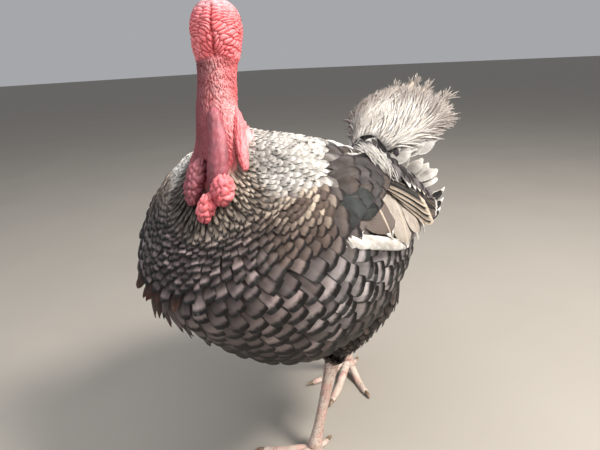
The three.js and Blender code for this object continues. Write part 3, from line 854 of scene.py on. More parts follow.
def add_lids(piece, sign, rect):
    """Two closed rings round an eye: the lid's thin almond-shaped rim and a beaded fold outside."""
    steps, sides = 64, 14
    looks = ((6.0, 4.6, 1.5, 0.8, 0.0, DUSKY * 0.5), (8.2, 6.8, 2.2, 1.3, 0.5, VIOLET))
    for k, (wide, high, broad, thick, beads, tint) in enumerate(looks):
        turn, ring = np.meshgrid(np.linspace(0, TURN_ROUND, steps), circle(sides), indexing="ij")
        knobs = np.abs(np.sin(turn * 11 + 0.8 * np.sin(3 * turn)))
        out = 1 + (broad * np.cos(ring) + 0.25 * beads * knobs) / wide
        across = wide * np.cos(turn) * out
        up = high * np.sin(turn) * out * np.where(np.sin(turn) > 0, 1.0, 0.9)
        over = np.sqrt(np.maximum((EYE_RADIUS + 0.3) ** 2 - (wide * np.cos(turn)) ** 2
                                  - (high * np.sin(turn)) ** 2, 4.0))
        rise = over + (thick + 0.8 * beads * knobs) * np.sin(ring) - 0.5 * k
        points = turned(sign * (EYE[0] + rise), EYE[1] + across, EYE[2] + up)
        faces = grid_faces(steps, sides, 0, False)[0]
        uv = np.stack([ring, turn], -1) / TURN_ROUND
        # painted shade between the outer fold's beads
        crease = 0.5 * smoothstep(0.5, 0.1, knobs) * beads
        tint = with_alpha(np.broadcast_to(tint, points.shape), crease)
        piece.add(points, [faces[:, ::sign]], {"OFBake": uv}, {"tint": tint},
                  rect=(rect[0], rect[1] + 0.1 * k, rect[2], 0.09))


def add_trunk_and_head(skin):
    """The trunk's coarse grid and the neck's fine one, bridged ring to ring and closed at the ends."""
    coarse = COLUMNS // FINER
    grids = ((np.linspace(0.02, NECK_START - 0.15, 48), circle(coarse)),
             (np.concatenate([np.linspace(NECK_START, HEAD_START, 130, endpoint=False),
                              np.linspace(HEAD_START, LAST - 0.02, 185)]), circle(COLUMNS)))
    made = []
    for stations, angles in grids:
        s, a = np.meshgrid(stations, angles, indexing="ij")
        height, tint = body_skin(s, a)
        made.append((body(s, a) + tangents(body, s, a)[2] * height[..., None], tint,
                     np.stack([a / TURN_ROUND, s / LAST], -1)))
    low, high = (len(stations) * len(angles) for stations, angles in grids)
    c, columns = np.arange(coarse), np.arange(COLUMNS)
    last, top, end = low - coarse, low + high - COLUMNS, low + high
    bridge = np.stack([last + c, last + (c + 1) % coarse]
                      + [low + (FINER * c + k) % COLUMNS for k in range(FINER, -1, -1)], -1)
    fans = [np.stack([np.full(coarse, end), (c + 1) % coarse, c], -1),
            np.stack([np.full(COLUMNS, end + 1), top + columns, top + (columns + 1) % COLUMNS], -1)]
    quads = [grid_faces(low // coarse, coarse, 0, False)[0],
             grid_faces(high // COLUMNS, COLUMNS, low, False)[0]]
    points, tints, uvs = (np.concatenate([m[k].reshape(-1, m[k].shape[-1]) for m in made]
                                         + [np.stack([made[0][k][0].mean(0), made[1][k][-1].mean(0)])])
                          for k in range(3))
    skin.add(points, [*quads, bridge, *fans], {"OFBake": uvs}, {"tint": tints},
             rect=(0.0, 0.0, 0.58, 0.98))


def make_skin():
    """The one skin: trunk and head, snood, lids, wattles, legs with their toes, and wing arms."""
    skin = Piece()
    add_trunk_and_head(skin)
    solid_tube(skin, tube(SNOOD, turned), 4, 50, 24, lobe(0.25, 5, 3, RED, PINK, 0.5),
               (0.62, 0.0, 0.1, 0.2))
    add_lids(skin, 1, (0.74, 0.0, 0.1))
    add_lids(skin, -1, (0.86, 0.0, 0.1))
    # The dewlap's and the right caruncle's dusky tints are painted shade, for the shade they hang in
    # under the head and on the neck's right side.
    looks = {"dewlap": (0.3, 9, 7, DUSKY * 1.15, DUSKY * 0.85, 0.3),
             "caruncle_left": (1.3, 8.5, 12, PINK * 0.92, CORAL * 0.75, 0.3),
             "caruncle_low": (1.3, 8, 17, PINK * 0.92, CORAL * 0.75, 0.3),
             "caruncle_right": (1.0, 8, 22, DUSKY, DUSKY * 1.3, 0.4),
             "neck_flap": (0.2, 8, 27, PINK, PINK * 0.9, 0.9)}
    for i, (name, rows) in enumerate(WATTLES.items()):
        solid_tube(skin, tube(rows), len(rows) - 1, 46, 42, lobe(*looks[name]),
                   (0.62 + 0.07 * i, 0.22, 0.06, 0.16))
    flesh = ["trunk", "neck", "head", "snood", *WATTLES, "wing_left", "wing_right"]
    for i, (side, leg) in enumerate(LEGS.items()):
        left = 0.62 + 0.19 * i
        solid_tube(skin, tube(leg["thigh"]), 3, 24, 24, under_coat(8), (left, 0.4, 0.17, 0.1))
        solid_tube(skin, floored(tube(leg["shank"])), 5, 130, 36, scutes(9.5, 34, 5.2, -PI / 2, 40 + i),
                   (left, 0.51, 0.17, 0.2))
        for j, toe in enumerate(TOES.values()):
            solid_tube(skin, floored(tube(toe_rows(leg, toe)[0])), 4, 52, 18,
                       toe_shape(toe["length"], 50 + j), (left + 0.045 * j, 0.72, 0.04, 0.12))
        arm, sign = wing_of(side)
        solid_tube(skin, lambda u, v: arm(u, sign * v), 5.2, 20, 20, under_coat(7),
                   (left, 0.86, 0.17, 0.12), 0.1)
        flesh += [f"thigh_{side}", f"shank_{side}", *(f"toe_{side}_{name}" for name in TOES)]
    skin.build("skin", SKIN, "skin", flesh)


make_skin()


# ------------------------------------------------------------------ vanes
ALONG = np.array([0, 0.16, 0.34, 0.52, 0.68, 0.82, 0.93, 1.0])     # rows of a small vane
SIDES = np.array([-1, -0.5, 0, 0.5, 1])                             # and its columns
LONG = np.concatenate([np.linspace(0, 0.86, 13), [0.91, 0.95, 0.98, 1.0]])     # and of a long one
WIDE = np.linspace(-1, 1, 9)
LOCK_ROWS, LOCK_THICK = 5, 0.35
PATCH = 0.003                    # size of one vane's patch on the bake map
COLOURS = ("base", "edge", "marks")


def vane_faces(rows, columns):
    """Faces of one closed vane: a top grid, two strips below and both ends."""
    w = columns + 1
    j, i = np.meshgrid(np.arange(rows - 1), np.arange(columns - 1), indexing="ij")
    a = (j * w + i).ravel()
    top = np.stack([a, a + w, a + w + 1, a + 1], -1)
    j = np.arange(rows - 1) * w
    left, right, keel = j, j + columns - 1, j + columns
    below = np.concatenate([np.stack([left, keel, keel + w, left + w], -1),
                            np.stack([keel, right, right + w, keel + w], -1)])
    across = np.arange(columns)
    tip = (rows - 1) * w + np.concatenate([[0, columns], across[:0:-1]])
    return [np.concatenate([top, below]), np.stack([tip, np.append(across, columns)])]


def lock_faces():
    """Faces of one closed lock of four-cornered rows."""
    j, k = np.arange(LOCK_ROWS - 1)[:, None] * 4, np.arange(4)[None]
    quads = np.stack([j + k, j + 4 + k, j + 4 + (k + 1) % 4, j + (k + 1) % 4], -1).reshape(-1, 4)
    return [quads, np.array([[0, 1, 2, 3], np.array([3, 2, 1, 0]) + 4 * (LOCK_ROWS - 1)])]


def add_coat(piece, points, blocks, across, along, look, bake, rim=None):
    """Adds closed feathers, points (number, row, column, 3), with one's faces copied for all.

    across and along are the columns' and rows' places on a vane, and bake is each root's place on the
    skin's layout; all run from 0 to 1.
    """
    n, rows, columns = points.shape[:3]
    offsets = (np.arange(n) * rows * columns)[:, None, None]
    faces = [(block[None] + offsets).reshape(-1, block.shape[1]) for block in blocks]
    place = np.stack(np.broadcast_arrays(across, along[:, None]), -1)
    place = np.broadcast_to(place, (n, rows, columns, 2))
    baked = np.clip(bake, 2 * PATCH, 1 - 2 * PATCH)[:, None, None] + (place - 0.5) * PATCH
    values = {key: np.broadcast_to(look[key][:, None, None], (n, rows, columns, 4)) for key in COLOURS}
    piece.add(points, faces, {"vane": place, "OFBake": baked}, values, rim)


def steps_on(pu, pv, move):
    """The change of (u, v) that moves a surface point by the tangent vector `move`."""
    uu, uv, vv = dot(pu, pu), dot(pu, pv), dot(pv, pv)
    a, b = dot(pu, move), dot(pv, move)
    det = np.maximum(uu * vv - uv * uv, 1e-6)
    return ((vv * a - uv * b) / det)[..., 0], ((uu * b - uv * a) / det)[..., 0]


def follow(surface, u, v, lengths, yaw, sign=1, lie=-1):
    """Paths (vane, row, 2) of small vanes that start at (u, v) and run along the surface's lie."""
    path = [np.stack([u, v], -1)]
    for low, high in zip(ALONG[:-1], ALONG[1:]):
        pu, pv, normal = tangents(surface, path[-1][:, 0], path[-1][:, 1], sign)
        ahead = lie * unit(pu)
        ahead = ahead * np.cos(yaw)[:, None] + np.cross(normal, ahead) * np.sin(yaw)[:, None]
        du, dv = steps_on(pu, pv, ahead * (lengths * (high - low))[:, None])
        path.append(path[-1] + np.stack([du, dv], -1))
    return np.stack(path, 1)


def add_vanes(piece, surface, path, widths, look, bake, along=ALONG, sides=SIDES, sign=1):
    """Adds closed vanes whose middle lines follow `path` on the surface.

    look gives each vane's depth at its root and lift at its tip, the bluntness and width of the tip,
    how round the tip's end is, its camber, roll, fray, thickness and colours, and how far up it the
    bare quill still narrows it.
    """
    look = {"quill": 0.4, "roll": 0.0, "thick": 0.4, **look}
    n, rows, columns = len(path), len(along), len(sides)
    u, v = path[..., 0], path[..., 1]
    pu, pv, normal = tangents(surface, u, v, sign)
    ahead = unit(np.gradient(surface(u, v), axis=1))
    t = along[None, :]
    column = {key: np.broadcast_to(np.asarray(value, float), (n,))[:, None]
              for key, value in look.items() if key not in COLOURS}
    late = np.clip((t - 0.45) / 0.55, 0, 1)
    outline = np.clip(t / column["quill"], 0.12, 1) ** 0.6 \
        * (1 - (1 - column["tip"]) * late ** column["blunt"])
    half = outline * widths[:, None] / 2
    du, dv = steps_on(pu, pv, unit(np.cross(normal, ahead)) * half[..., None])
    top = surface(u[..., None] + du[..., None] * sides, v[..., None] + dv[..., None] * sides)
    lift = -column["depth"] * (1 - t) + column["lift"] * t ** 2
    rise = lift[..., None] - (column["camber"][..., None] * half[..., None]) * sides ** 2 \
        + column["roll"][..., None] * half[..., None] * sides
    each = np.stack(np.broadcast_arrays(np.arange(n)[:, None], np.arange(columns)[None]), -1)
    fray = column["fray"] * (hashed(each, 3) - 0.5) * widths[:, None]
    lag = -column["round"] * widths[:, None] * (t ** 6)
    slide = lag[..., None] * sides ** 2 + fray[:, None, :] * (t ** 8)[..., None]
    top = top + normal[:, :, None] * rise[..., None] + ahead[:, :, None] * slide[..., None]
    keel = top[:, :, columns // 2] - normal * look["thick"]
    rim = np.zeros((n, rows, columns + 1), bool)
    rim[:, :, 0] = rim[:, :, columns - 1] = True
    rim[:, -1, :columns] = True
    add_coat(piece, np.concatenate([top, keel[:, :, None]], 2), vane_faces(rows, columns),
             np.append((sides + 1) / 2, 0.5), along, look, bake, rim)


def add_locks(piece, starts, moves, curls, widths, normals, look, bake):
    """Adds thin tapered locks with four sides: start + move * t + curl * t^2."""
    along = np.linspace(0, 1, LOCK_ROWS)
    t = along[None, :, None]
    path = starts[:, None] + moves[:, None] * t + curls[:, None] * t ** 2
    ahead = unit(np.gradient(path, axis=1))
    across = unit(np.cross(normals[:, None], ahead))
    half = widths[:, None, None] / 2 * (1 - 0.92 * t ** 1.5)
    up = unit(np.cross(ahead, across)) * np.minimum(LOCK_THICK, half)
    points = np.stack([path - across * half, path + up, path + across * half, path - 0.3 * up], 2)
    add_coat(piece, points, lock_faces(), np.array([0.3, 0.5, 0.7, 0.5]), along, look, bake)


def paint(tints, own, edges=SOOT, fringe=0.16, bars=0.0, count=0.2, flecks=0.0, shaft=0.0):
    """The three colour values of each feather from its tint and its own number."""
    n = len(own)
    base = np.broadcast_to(tints, (n, 3)) * (0.78 + 0.44 * own)[:, None]
    marks = [np.broadcast_to(mark, (n,)) for mark in (bars, count, flecks, shaft)]
    return {"base": with_alpha(base, own), "edge": with_alpha(np.broadcast_to(edges, (n, 3)), fringe),
            "marks": np.stack(marks, -1)}


def add_fluff(piece, surface, u, v, sign, turn, lengths, widths, rise, tint, bake, above=1.0):
    """Soft locks rooted on a surface, each turned from its u direction, rising and then falling.

    sign chooses the side of the surface and above the roots' height over it; lengths, widths,
    turn and rise are one for each lock.
    """
    pu, pv, normal = tangents(surface, u, v)
    normal = normal * np.broadcast_to(sign, u.shape)[:, None]
    lengths = lengths[:, None]
    ahead = unit(pu) * np.cos(turn)[:, None] + unit(pv) * np.sin(turn)[:, None]
    sway = unit(np.cross(normal, ahead)) * (0.5 * rng.random(len(u)) - 0.25)[:, None]
    rise = normal * rise[:, None]
    add_locks(piece, surface(u, v) + above * normal, (ahead + rise) * lengths,
              (1.3 * sway - 0.7 * rise) * lengths, widths, normal,
              paint(tint, rng.random(len(u)), tint), bake)


def sweep(points, radii, order):
    """Numbers of the points kept when each in turn must be its radius from all kept before it."""
    held, kept = {}, []
    around = list(itertools.product((-1, 0, 1), repeat=3))
    boxes = np.floor(points / radii.max()).astype(int).tolist()
    rows, reach = points.tolist(), (radii ** 2).tolist()
    for i in order.tolist():
        a, b, c = rows[i]
        ka, kb, kc = boxes[i]
        near = (q for da, db, dc in around for q in held.get((ka + da, kb + db, kc + dc), ()))
        if all((a - q[0]) ** 2 + (b - q[1]) ** 2 + (c - q[2]) ** 2 >= reach[i] for q in near):
            held.setdefault((ka, kb, kc), []).append((a, b, c))
            kept.append(i)
    return np.array(kept, int)


TRIES = (260, 420)               # of the grid that roots are chosen from
CROWDING = 0.28                  # distance between the chosen ones, as a share of the spacing


def scatter(surface, u_range, v_range, spacing, keep, lie=-1):
    """Roots (u, v) of feathers laid in rows from the tail end of the lie to its start.

    spacing(points) is the distance between roots, keep(points, u, v) says where any grow, and lie
    is 1 where feathers point along u, and -1 where they point against it.
    """
    u, v = (grid.ravel() for grid in np.meshgrid(np.linspace(*u_range, TRIES[0]),
                                                 np.linspace(*v_range, TRIES[1]), indexing="ij"))
    u_step, v_step = ((high - low) / count for (low, high), count in zip((u_range, v_range), TRIES))
    u = u + (rng.random(len(u)) - 0.5) * u_step
    v = v + (rng.random(len(v)) - 0.5) * v_step
    points = surface(u, v)
    pu, pv, _ = tangents(surface, u, v)
    ground = np.linalg.norm(np.cross(pu, pv), axis=-1) * u_step * v_step
    apart = spacing(points)
    some = (rng.random(len(u)) < ground / (apart * CROWDING) ** 2) & keep(points, u, v)
    roots = [value[some] for value in (u, v, points, apart)]
    kept = sweep(roots[2], roots[3], np.argsort(-lie * roots[0]))
    return [value[kept] for value in roots]


def anywhere(points, u, v):
    """True for each root, where scatter() has nothing to leave out."""
    return np.ones(len(u), bool)


def inside(node):
    """A test of whether each point of the bird's frame lies inside a CAD node."""
    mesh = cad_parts[node].data
    tree = BVHTree.FromPolygons([p.co for p in mesh.vertices], [p.vertices for p in mesh.polygons])
    way = Vector((0.31, 0.22, 0.92)).normalized()

    def test(points):
        """True where a ray from the point crosses the node's faces an odd number of times."""
        result = np.zeros(len(points), bool)
        for i, p in enumerate(points * MM + SHIFT):
            place, crossed = tree.ray_cast(Vector(p), way)[0], 0
            while place is not None:
                crossed += 1
                place = tree.ray_cast(place + way * 1e-5, way)[0]
            result[i] = crossed % 2 == 1
        return result
    return test


# ------------------------------------------------------------------ the body's coat
in_trunk = inside("trunk")
in_wings = [inside(f"{part}_{side}") for part in ("wing", "flight_feathers") for side in LEGS]


def body_spacing(points):
    """Distance between the roots of neighbouring feathers: smallest at the neck."""
    mantle, collar, brown, rump = regions(points)
    broad = scapulars(points)
    apart = 18.5 - 1.0 * rump - brown * (8.0 - 6.5 * broad)
    apart = apart + (8.5 - apart) * mantle
    apart = apart - 2.5 * brown * smoothstep(428, 458, points[..., 2]) * (1 - broad)
    near = smoothstep(-60, -20, collar_height(points))
    apart = apart + (7.5 - apart) * np.maximum(near, collar) * 0.9
    return apart - 2.0 * smoothstep(-40, 0, collar_height(points))


def body_keep(points, u, v):
    """True below the wavering line where the neck is bare, which lies higher behind."""
    behind = smoothstep(-215, -200, points[..., 1])
    return collar_height(points) < 6 + 4 * noise(points, 14, 2) + 9 * behind


def coat_body():
    """Rows of contour feathers from the rump to the neck, in pieces by region."""
    roots = scatter(body, (0.15, 13.2), (0, TURN_ROUND), body_spacing, body_keep)
    free = ~np.any([test(roots[2]) for test in in_wings], axis=0)
    u, v, points, apart = (value[free] for value in roots)
    n = len(u)
    own = rng.random(n)
    base, edge, marks = plumage(points, own)
    mantle, collar, brown, _ = regions(points)
    x, y, z = points.T
    belly = smoothstep(262, 225, z)
    hanging = smoothstep(34, 10, x) * smoothstep(385, 368, z) * smoothstep(298, 316, z) \
        * smoothstep(-235, -255, y)
    tips = (hanging > 0.5) & (own > 0.55)
    edge[..., :3] = np.where(tips[:, None], RUST * 0.75, edge[..., :3])
    base[..., :3] = np.where(tips[:, None], RUST * 0.5, base[..., :3])
    lengths = apart * (2.6 + 0.3 * rng.random(n)) * (1 + 0.5 * collar + 0.25 * belly + 0.15 * hanging)
    widths = apart * (1.5 + 0.15 * rng.random(n)) * (1 - 0.45 * collar - 0.2 * hanging)
    yaw = (rng.random(n) - 0.5) * (0.2 + 0.2 * mantle) + 0.45 * collar * np.clip(x / 30, -1, 1)
    square = (1 - mantle) * (1 - collar) * (1 - hanging) * (1 - 0.35 * brown)
    droop = hanging * (2 + 7 * rng.random(n))
    look = {
        "depth": 0.55 * np.minimum(apart, 14),
        "lift": 0.5 + 2.6 * rng.random(n) * (0.25 + square) + droop,
        "tip": 0.1 + 0.8 * square, "blunt": 1.8 + 8 * square, "round": 0.16 - 0.14 * square,
        "camber": 0.15, "fray": 0.05 + 0.07 * belly + 0.05 * hanging,
        "roll": (rng.random(n) - 0.5) * 0.16, "base": base, "edge": edge, "marks": marks,
    }
    path = follow(body, u, v, lengths, yaw)
    bake = np.stack([(v % TURN_ROUND) / TURN_ROUND, u / LAST], -1)
    in_turn = (("mantle", mantle > 0.5, VANE), ("collar", collar > 0.4, VANE),
               ("breast", y < -170, GLOSSY), ("back", z > 400, VANE),
               ("flank", np.ones(n, bool), GLOSSY))
    left = path[..., 0].min(1) > 0.04        # all but those that would run past the rump's end
    for name, mask, material in in_turn:
        mine = np.flatnonzero(mask & left)
        left = left & ~mask
        piece = Piece()
        part = {key: (value[mine] if np.ndim(value) else value) for key, value in look.items()}
        add_vanes(piece, body, path[mine], widths[mine], part, bake[mine])
        piece.build(f"{name}_feathers", material, "plumage")


coat_body()


# ------------------------------------------------------------------ wings
def between(starts, ends, bow=(0.0, 0.0)):
    """Paths from start to end on a surface, straight but for a bow at their middle."""
    t = LONG[None, :, None]
    starts, ends = (np.asarray(place, float)[:, None] for place in (starts, ends))
    return starts + (ends - starts) * t + np.sin(PI * t) * np.array(bow)


def on_wing(u, v):
    """Places of roots on the layout of a wing's skin."""
    return np.stack([(v + 0.5) / 4, u / 8], -1)


def wing_coverts(piece, side):
    """Rows of short coverts over the wing's arm, down to a rounded lobe that is green-black."""
    surface, sign = wing_of(side)

    def spacing(points):
        """Widest behind the shoulder, and a little less toward the tips."""
        y = points[..., 1]
        return 11 + 8 * smoothstep(-190, -110, y) - 3 * smoothstep(-40, 60, y)

    def keep(points, u, v):
        """True ahead of the lobe's edge, and along the wing's upper edge behind it."""
        return (u < 2.75 - 1.65 * smoothstep(0.9, 2.3, v)) | (v < 0.5 + 0.65 * smoothstep(2.6, 3.2, u))
    roots = scatter(surface, (0.12, 6.3), (-0.35, 2.5), spacing, keep, 1)
    free = ~in_trunk(surface(roots[0] + 0.5, roots[1])) | ~in_trunk(roots[2])
    u, v, points, apart = (value[free] for value in roots)
    n = len(u)
    own = rng.random(n)
    low = smoothstep(1.2, 1.6, v) * smoothstep(0.9, 1.5, u)
    rear = smoothstep(2.7, 3.2, u)
    tint = blend(blend(GREY_BROWN * 0.35, SLATE * 0.5, own), SLATE * 0.5, rear)
    tint = blend(tint, GREEN_BLACK, low)
    edges = blend(SOOT * 2, SLATE, rear * (own > 0.5))
    look = paint(tint, own, edges, 0.07 + 0.05 * own + 0.1 * rear)
    look |= {"depth": 2.5, "lift": 4.0 + 2.5 * rng.random(n) + rear, "tip": 0.5, "blunt": 4.0,
             "round": 0.16, "camber": 0.12, "fray": 0.05, "roll": (rng.random(n) - 0.5) * 0.12}
    yaw = -sign * (0.28 + 0.25 * (rng.random(n) - 0.5)) * (1 - rear)
    lengths = apart * (2.5 + 0.4 * rng.random(n))
    path = follow(surface, u, v, lengths, yaw, sign, 1)
    add_vanes(piece, surface, path, apart * 1.6, look, on_wing(u, v), sign=sign)


def add_row(piece, side, number, start, step, end, end_step, width, tint, edges, fringe, marks, **look):
    """Long vanes on a wing, each a step on from the last, from start to end in (u, v).

    tint, edges and what look holds may be functions of k, which counts the vanes from 0.
    """
    surface, sign = wing_of(side)
    k = np.arange(number)
    own = rng.random(number)
    paths = between(np.array(start) + k[:, None] * step, np.array(end) + k[:, None] * end_step,
                    look.pop("bow", (0.0, 0.0)))
    tint, edges = (shade(k) if callable(shade) else shade for shade in (tint, edges))
    look = {"tip": 0.35, "blunt": 4.0, "round": 0.14, "camber": 0.05, "fray": 0.05, "thick": 0.5,
            "quill": 0.25, "roll": 0.0, **paint(tint, own, edges, fringe, *marks),
            **{key: value(k) if callable(value) else value for key, value in look.items()}}
    look["roll"] = look["roll"] * sign
    bake = np.stack([0.1 + 0.07 * k, 0.5 + 0.1 * len(piece.points) + 0 * k], -1)
    add_vanes(piece, surface, paths, np.full(number, float(width)), look, bake, LONG, WIDE, sign)


def wing_points(piece, side):
    """The three longest tips, on a sheet beside the rump, that curl up past the wing."""
    sign = wing_of(side)[1]
    reach, height = np.array([[44.0, 42.0, 34.0], [376.0, 358.0, 343.0]])
    t = LONG[None]
    curl = np.stack([reach[:, None] * t, height[:, None] - 5 * t + 15 * t ** 4], -1)

    def sheet(back, up):
        """An upright plane that leans a little outward behind."""
        return np.stack([sign * (104 + 0.1 * back), 146 + back, up], -1)
    look = paint(SOOT, np.array([0.3, 0.6, 0.9]), WHITE, 0.2)
    look |= {"depth": 0.0, "lift": 0.0, "tip": 0.4, "blunt": 2.4, "round": 0.35, "camber": 0.3,
             "fray": 0.02, "thick": 0.5, "quill": 0.3}
    add_vanes(piece, sheet, curl, np.full(3, 17.0), look, np.full((3, 2), 0.9), LONG, WIDE, -sign)


def wing_coat(side):
    """Coverts, secondaries over a white row, striped quills, primaries, curled tips and a tuft."""
    coverts = Piece()
    wing_coverts(coverts, side)
    # the last coverts, along the lobe's edge
    lobe_edge = spline([[3.3, 0.95], [3.1, 1.3], [2.5, 1.62], [1.95, 1.93], [1.5, 2.08]],
                       0.44 * np.arange(10))
    add_row(coverts, side, 10, lobe_edge - [[0.85, 0.33]], 0, lobe_edge, 0, 31,
            lambda k: blend(SLATE * 0.45, GREEN_BLACK, (k > 3) * 1.0), SLATE * 0.3, 0.08,
            (0, 0.2, 0, 0), depth=3.0, lift=7.0, tip=0.5, round=0.2, roll=0.1)
    # long slate ones with pale edges that arch over the wing's hind end
    add_row(coverts, side, 5, (3.5, -0.2), (0.4, 0.0), (4.1, 1.4), (0.42, 0.0), 30, SLATE * 0.55,
            lambda k: blend(WHITE, CREAM, k / 6) * 0.8, 0.1, (0, 0.2, 0, 0.3), depth=2.5,
            lift=lambda k: 6.5 - 0.5 * k, tip=0.4, round=0.2, roll=0.1, fray=0.01, bow=(0.5, 0.0))
    coverts.build(f"wing_coverts_{side}", GLOSSY, "plumage")

    # a white row along the wing's lower edge, then two brown secondaries and three cream ones
    quills = Piece()
    add_row(quills, side, 10, (0.7, 1.75), (0.18, 0.06), (1.7, 2.3), (0.2, 0.045), 16, WHITE * 0.9,
            WHITE * 0.9, 0.1, (0,), depth=lambda k: 0.6 * k - 5, lift=lambda k: 7.0 - 0.55 * k,
            tip=0.15, blunt=2.0, round=0.1, fray=0.01)
    add_row(quills, side, 2, (1.9, 0.8), (0.8, 0.03), (2.1, 2.32), (0.76, 0.04), 80, GREY_BROWN * 0.36,
            WHITE * 0.7, 0.07, (0, 0.2, 0, 0.6), depth=6.0, lift=lambda k: 1.0 + 0.6 * k, roll=-0.04,
            tip=0.06, blunt=2.6, fray=0.01)
    add_row(quills, side, 3, (3.5, 0.86), (0.8, 0.03), (3.4, 2.72), (0.6, -0.07), 74,
            blend(CREAM, WHITE, 0.4) * 0.5, WHITE * 0.7, 0.07, (0, 0.2, 0, 0.6), depth=6.0,
            lift=lambda k: 2.2 + 0.6 * k, roll=-0.04, tip=0.2, blunt=3.0, fray=0.01)
    quills.build(f"wing_quills_{side}", QUILL, "quills", [f"flight_feathers_{side}"])

    # striped inner quills, the primaries behind them, and the curled tips
    points = Piece()
    add_row(points, side, 8, (2.7, 1.0), (0.13, 0.1), (4.9, 1.7), (0.14, 0.11), 15,
            lambda k: blend(SOOT * 1.5, CREAM, (k % 2 == 1) * 0.9), CREAM, 0.16, (0, 0.2, 0, 0.3),
            depth=0.0, lift=lambda k: 8.5 - 0.6 * k, roll=-0.1)
    add_row(points, side, 6, (3.7, 1.1), (0.1, 0.1), (7.2, 0.9), (-0.1, 0.28), 20,
            lambda k: blend(SOOT * 1.4, GREY_BROWN * 0.4, (k % 2) * 0.8), WHITE, 0.1,
            (0, 0.2, 0, 0.5), depth=1.5, lift=lambda k: 4.5 - 0.5 * k, tip=0.25, blunt=2.6, round=0.2,
            roll=0.08)
    wing_points(points, side)
    points.build(f"wing_points_{side}", VANE, "quills")

    # a white tuft between the coverts and the rump
    surface, sign = wing_of(side)
    n = 340
    u, v = 3.5 + 0.13 * rng.standard_normal(n), 0.75 + 0.2 * rng.standard_normal(n)
    tuft = Piece()
    add_fluff(tuft, surface, u, v, sign, -sign * (1.7 + 0.9 * (rng.random(n) - 0.5)),
              8 + 20 * rng.random(n) ** 2, 1.4 + 1.0 * rng.random(n), 0.1 + 0.3 * rng.random(n), WHITE,
              on_wing(u, v), 6.0)
    tuft.build(f"wing_tuft_{side}", DOWN, "white")


for side in LEGS:
    wing_coat(side)


# ------------------------------------------------------------------ tail
def on_tail(u, v):
    """Places of roots on a layout of the tail's fan."""
    return np.stack([(v + 1) / 2, u], -1)


def tail_rows(name, surface, sign, reach, tint, edges, fringe, fray, node, apart=15.0, **change):
    """Rows of coverts on a fan's face, between two shares of its radius; tint is a function of them."""
    u, v = scatter(surface, reach, (-1.0, 1.0), lambda points: np.full(len(points), apart),
                   anywhere, 1)[:2]
    n = len(u)
    own = rng.random(n)
    look = paint(tint(own, u), own, edges, fringe)
    look |= {"depth": 5.0, "lift": 1.5 + 2.5 * rng.random(n), "tip": 0.55, "blunt": 3.4, "round": 0.2,
             "camber": 0.08, "fray": fray, "roll": (rng.random(n) - 0.5) * 0.1, **change}
    lengths = apart * (2.9 + 0.7 * rng.random(n))
    path = follow(surface, u, v, lengths, (rng.random(n) - 0.5) * 0.25, sign, 1)
    coat = Piece()
    add_vanes(coat, surface, path, np.full(n, 2.0 * apart), look, on_tail(u, v), sign=sign)
    coat.build(name, VANE, "plumage", node)


def tail_down(surface):
    """Long soft locks over the tail's root and middle, dusky toward its tip; painted shade on its right
    side.
    """
    down = Piece()
    n = 5000
    u, v = 0.42 + 0.53 * rng.random(n) ** 0.8, 1.6 * rng.random(n) - 0.8
    # the tip's dusk and odd dusky locks are the down's own colour; the darkening on the bird's right
    # side is painted shade
    dusk_and_shade = 0.7 * smoothstep(0.72, 0.9, u + 0.05 * np.sin(9 * v)) + 0.35 * (rng.random(n) < 0.08) \
        + 0.6 * smoothstep(-0.5, -0.8, v)
    add_fluff(down, surface, u, v, 1, 0.7 * (rng.random(n) - 0.5), 34 + 26 * rng.random(n),
              4.5 + 3.5 * rng.random(n), 0.03 + 0.12 * rng.random(n),
              blend(blend(WHITE, CREAM, 0.3 * rng.random(n)), GREY_BROWN * 0.9, np.clip(dusk_and_shade, 0, 1)),
              on_tail(u, v), 3.0)
    down.build("tail_down", DOWN, "white")


def tail_plume():
    """Two rows of long vanes in a fan, the second shorter, with soft barbs that fray their outline."""
    plume = Piece()
    flat = fan(TAIL_RISE, TAIL_LENGTH, TAIL_SPREAD)
    k = np.concatenate([np.linspace(-1, 1, 15), np.linspace(-0.93, 0.93, 14)])
    own = rng.random(len(k))
    short = np.where(np.arange(len(k)) < 15, 1.0, 0.72)
    root, reach = 0.12, (1.0 - 0.1 * k ** 2) * (0.84 + 0.16 * own) * short
    look = paint(WHITE, own, CREAM, 0.2, 0.12, 0.1, 0.0, 0.5)
    look |= {"depth": 0.0, "lift": 3.0 * (1 - np.abs(k)) + 9 * (short < 1), "tip": 0.3, "blunt": 2.2,
             "round": 0.3, "camber": -0.04, "fray": 0.3, "roll": 0.05 * np.sign(k), "thick": 0.5,
             "quill": 0.5}
    add_vanes(plume, flat, between(np.stack([root + 0 * k, k], -1), np.stack([reach, k], -1)),
              np.full(len(k), 34.0), look, on_tail(0.5 + 0 * k, k), LONG, WIDE)
    n = 4000
    feather = rng.integers(0, len(k), n)
    side = np.where(rng.random(n) < 0.5, -1.0, 1.0)
    t = 0.25 + 0.72 * rng.random(n) ** 0.8
    share = k[feather]
    out = root + (reach[feather] - root) * t
    face = np.where(rng.random(n) < 0.65, 1.0, -1.0)
    own = rng.random(n)
    # the dusk toward the tips and of odd locks is their own colour; the darkening on the bird's right
    # side is painted shade
    dusk_and_shade = 0.4 * smoothstep(0.6, 0.8, t) + 0.4 * bell(t - 0.9, 0.05) + 0.4 * (own < 0.12) \
        + 0.5 * smoothstep(-0.6, -0.95, share)
    tint = blend(blend(WHITE, CREAM, own * 0.5), GREY_BROWN * 0.8, np.clip(dusk_and_shade, 0, 1))
    add_fluff(plume, flat, out, share + 0.01 * side, face, side * (0.05 + 0.45 * rng.random(n)),
              (26 + 18 * rng.random(n)) * (1.2 - 0.6 * t), 3.2 + 2.4 * rng.random(n),
              0.05 + 0.16 * rng.random(n), tint, on_tail(out, share + 0.04 * side * rng.random(n)))
    plume.build("tail_plume", DOWN, "white", ["tail"])


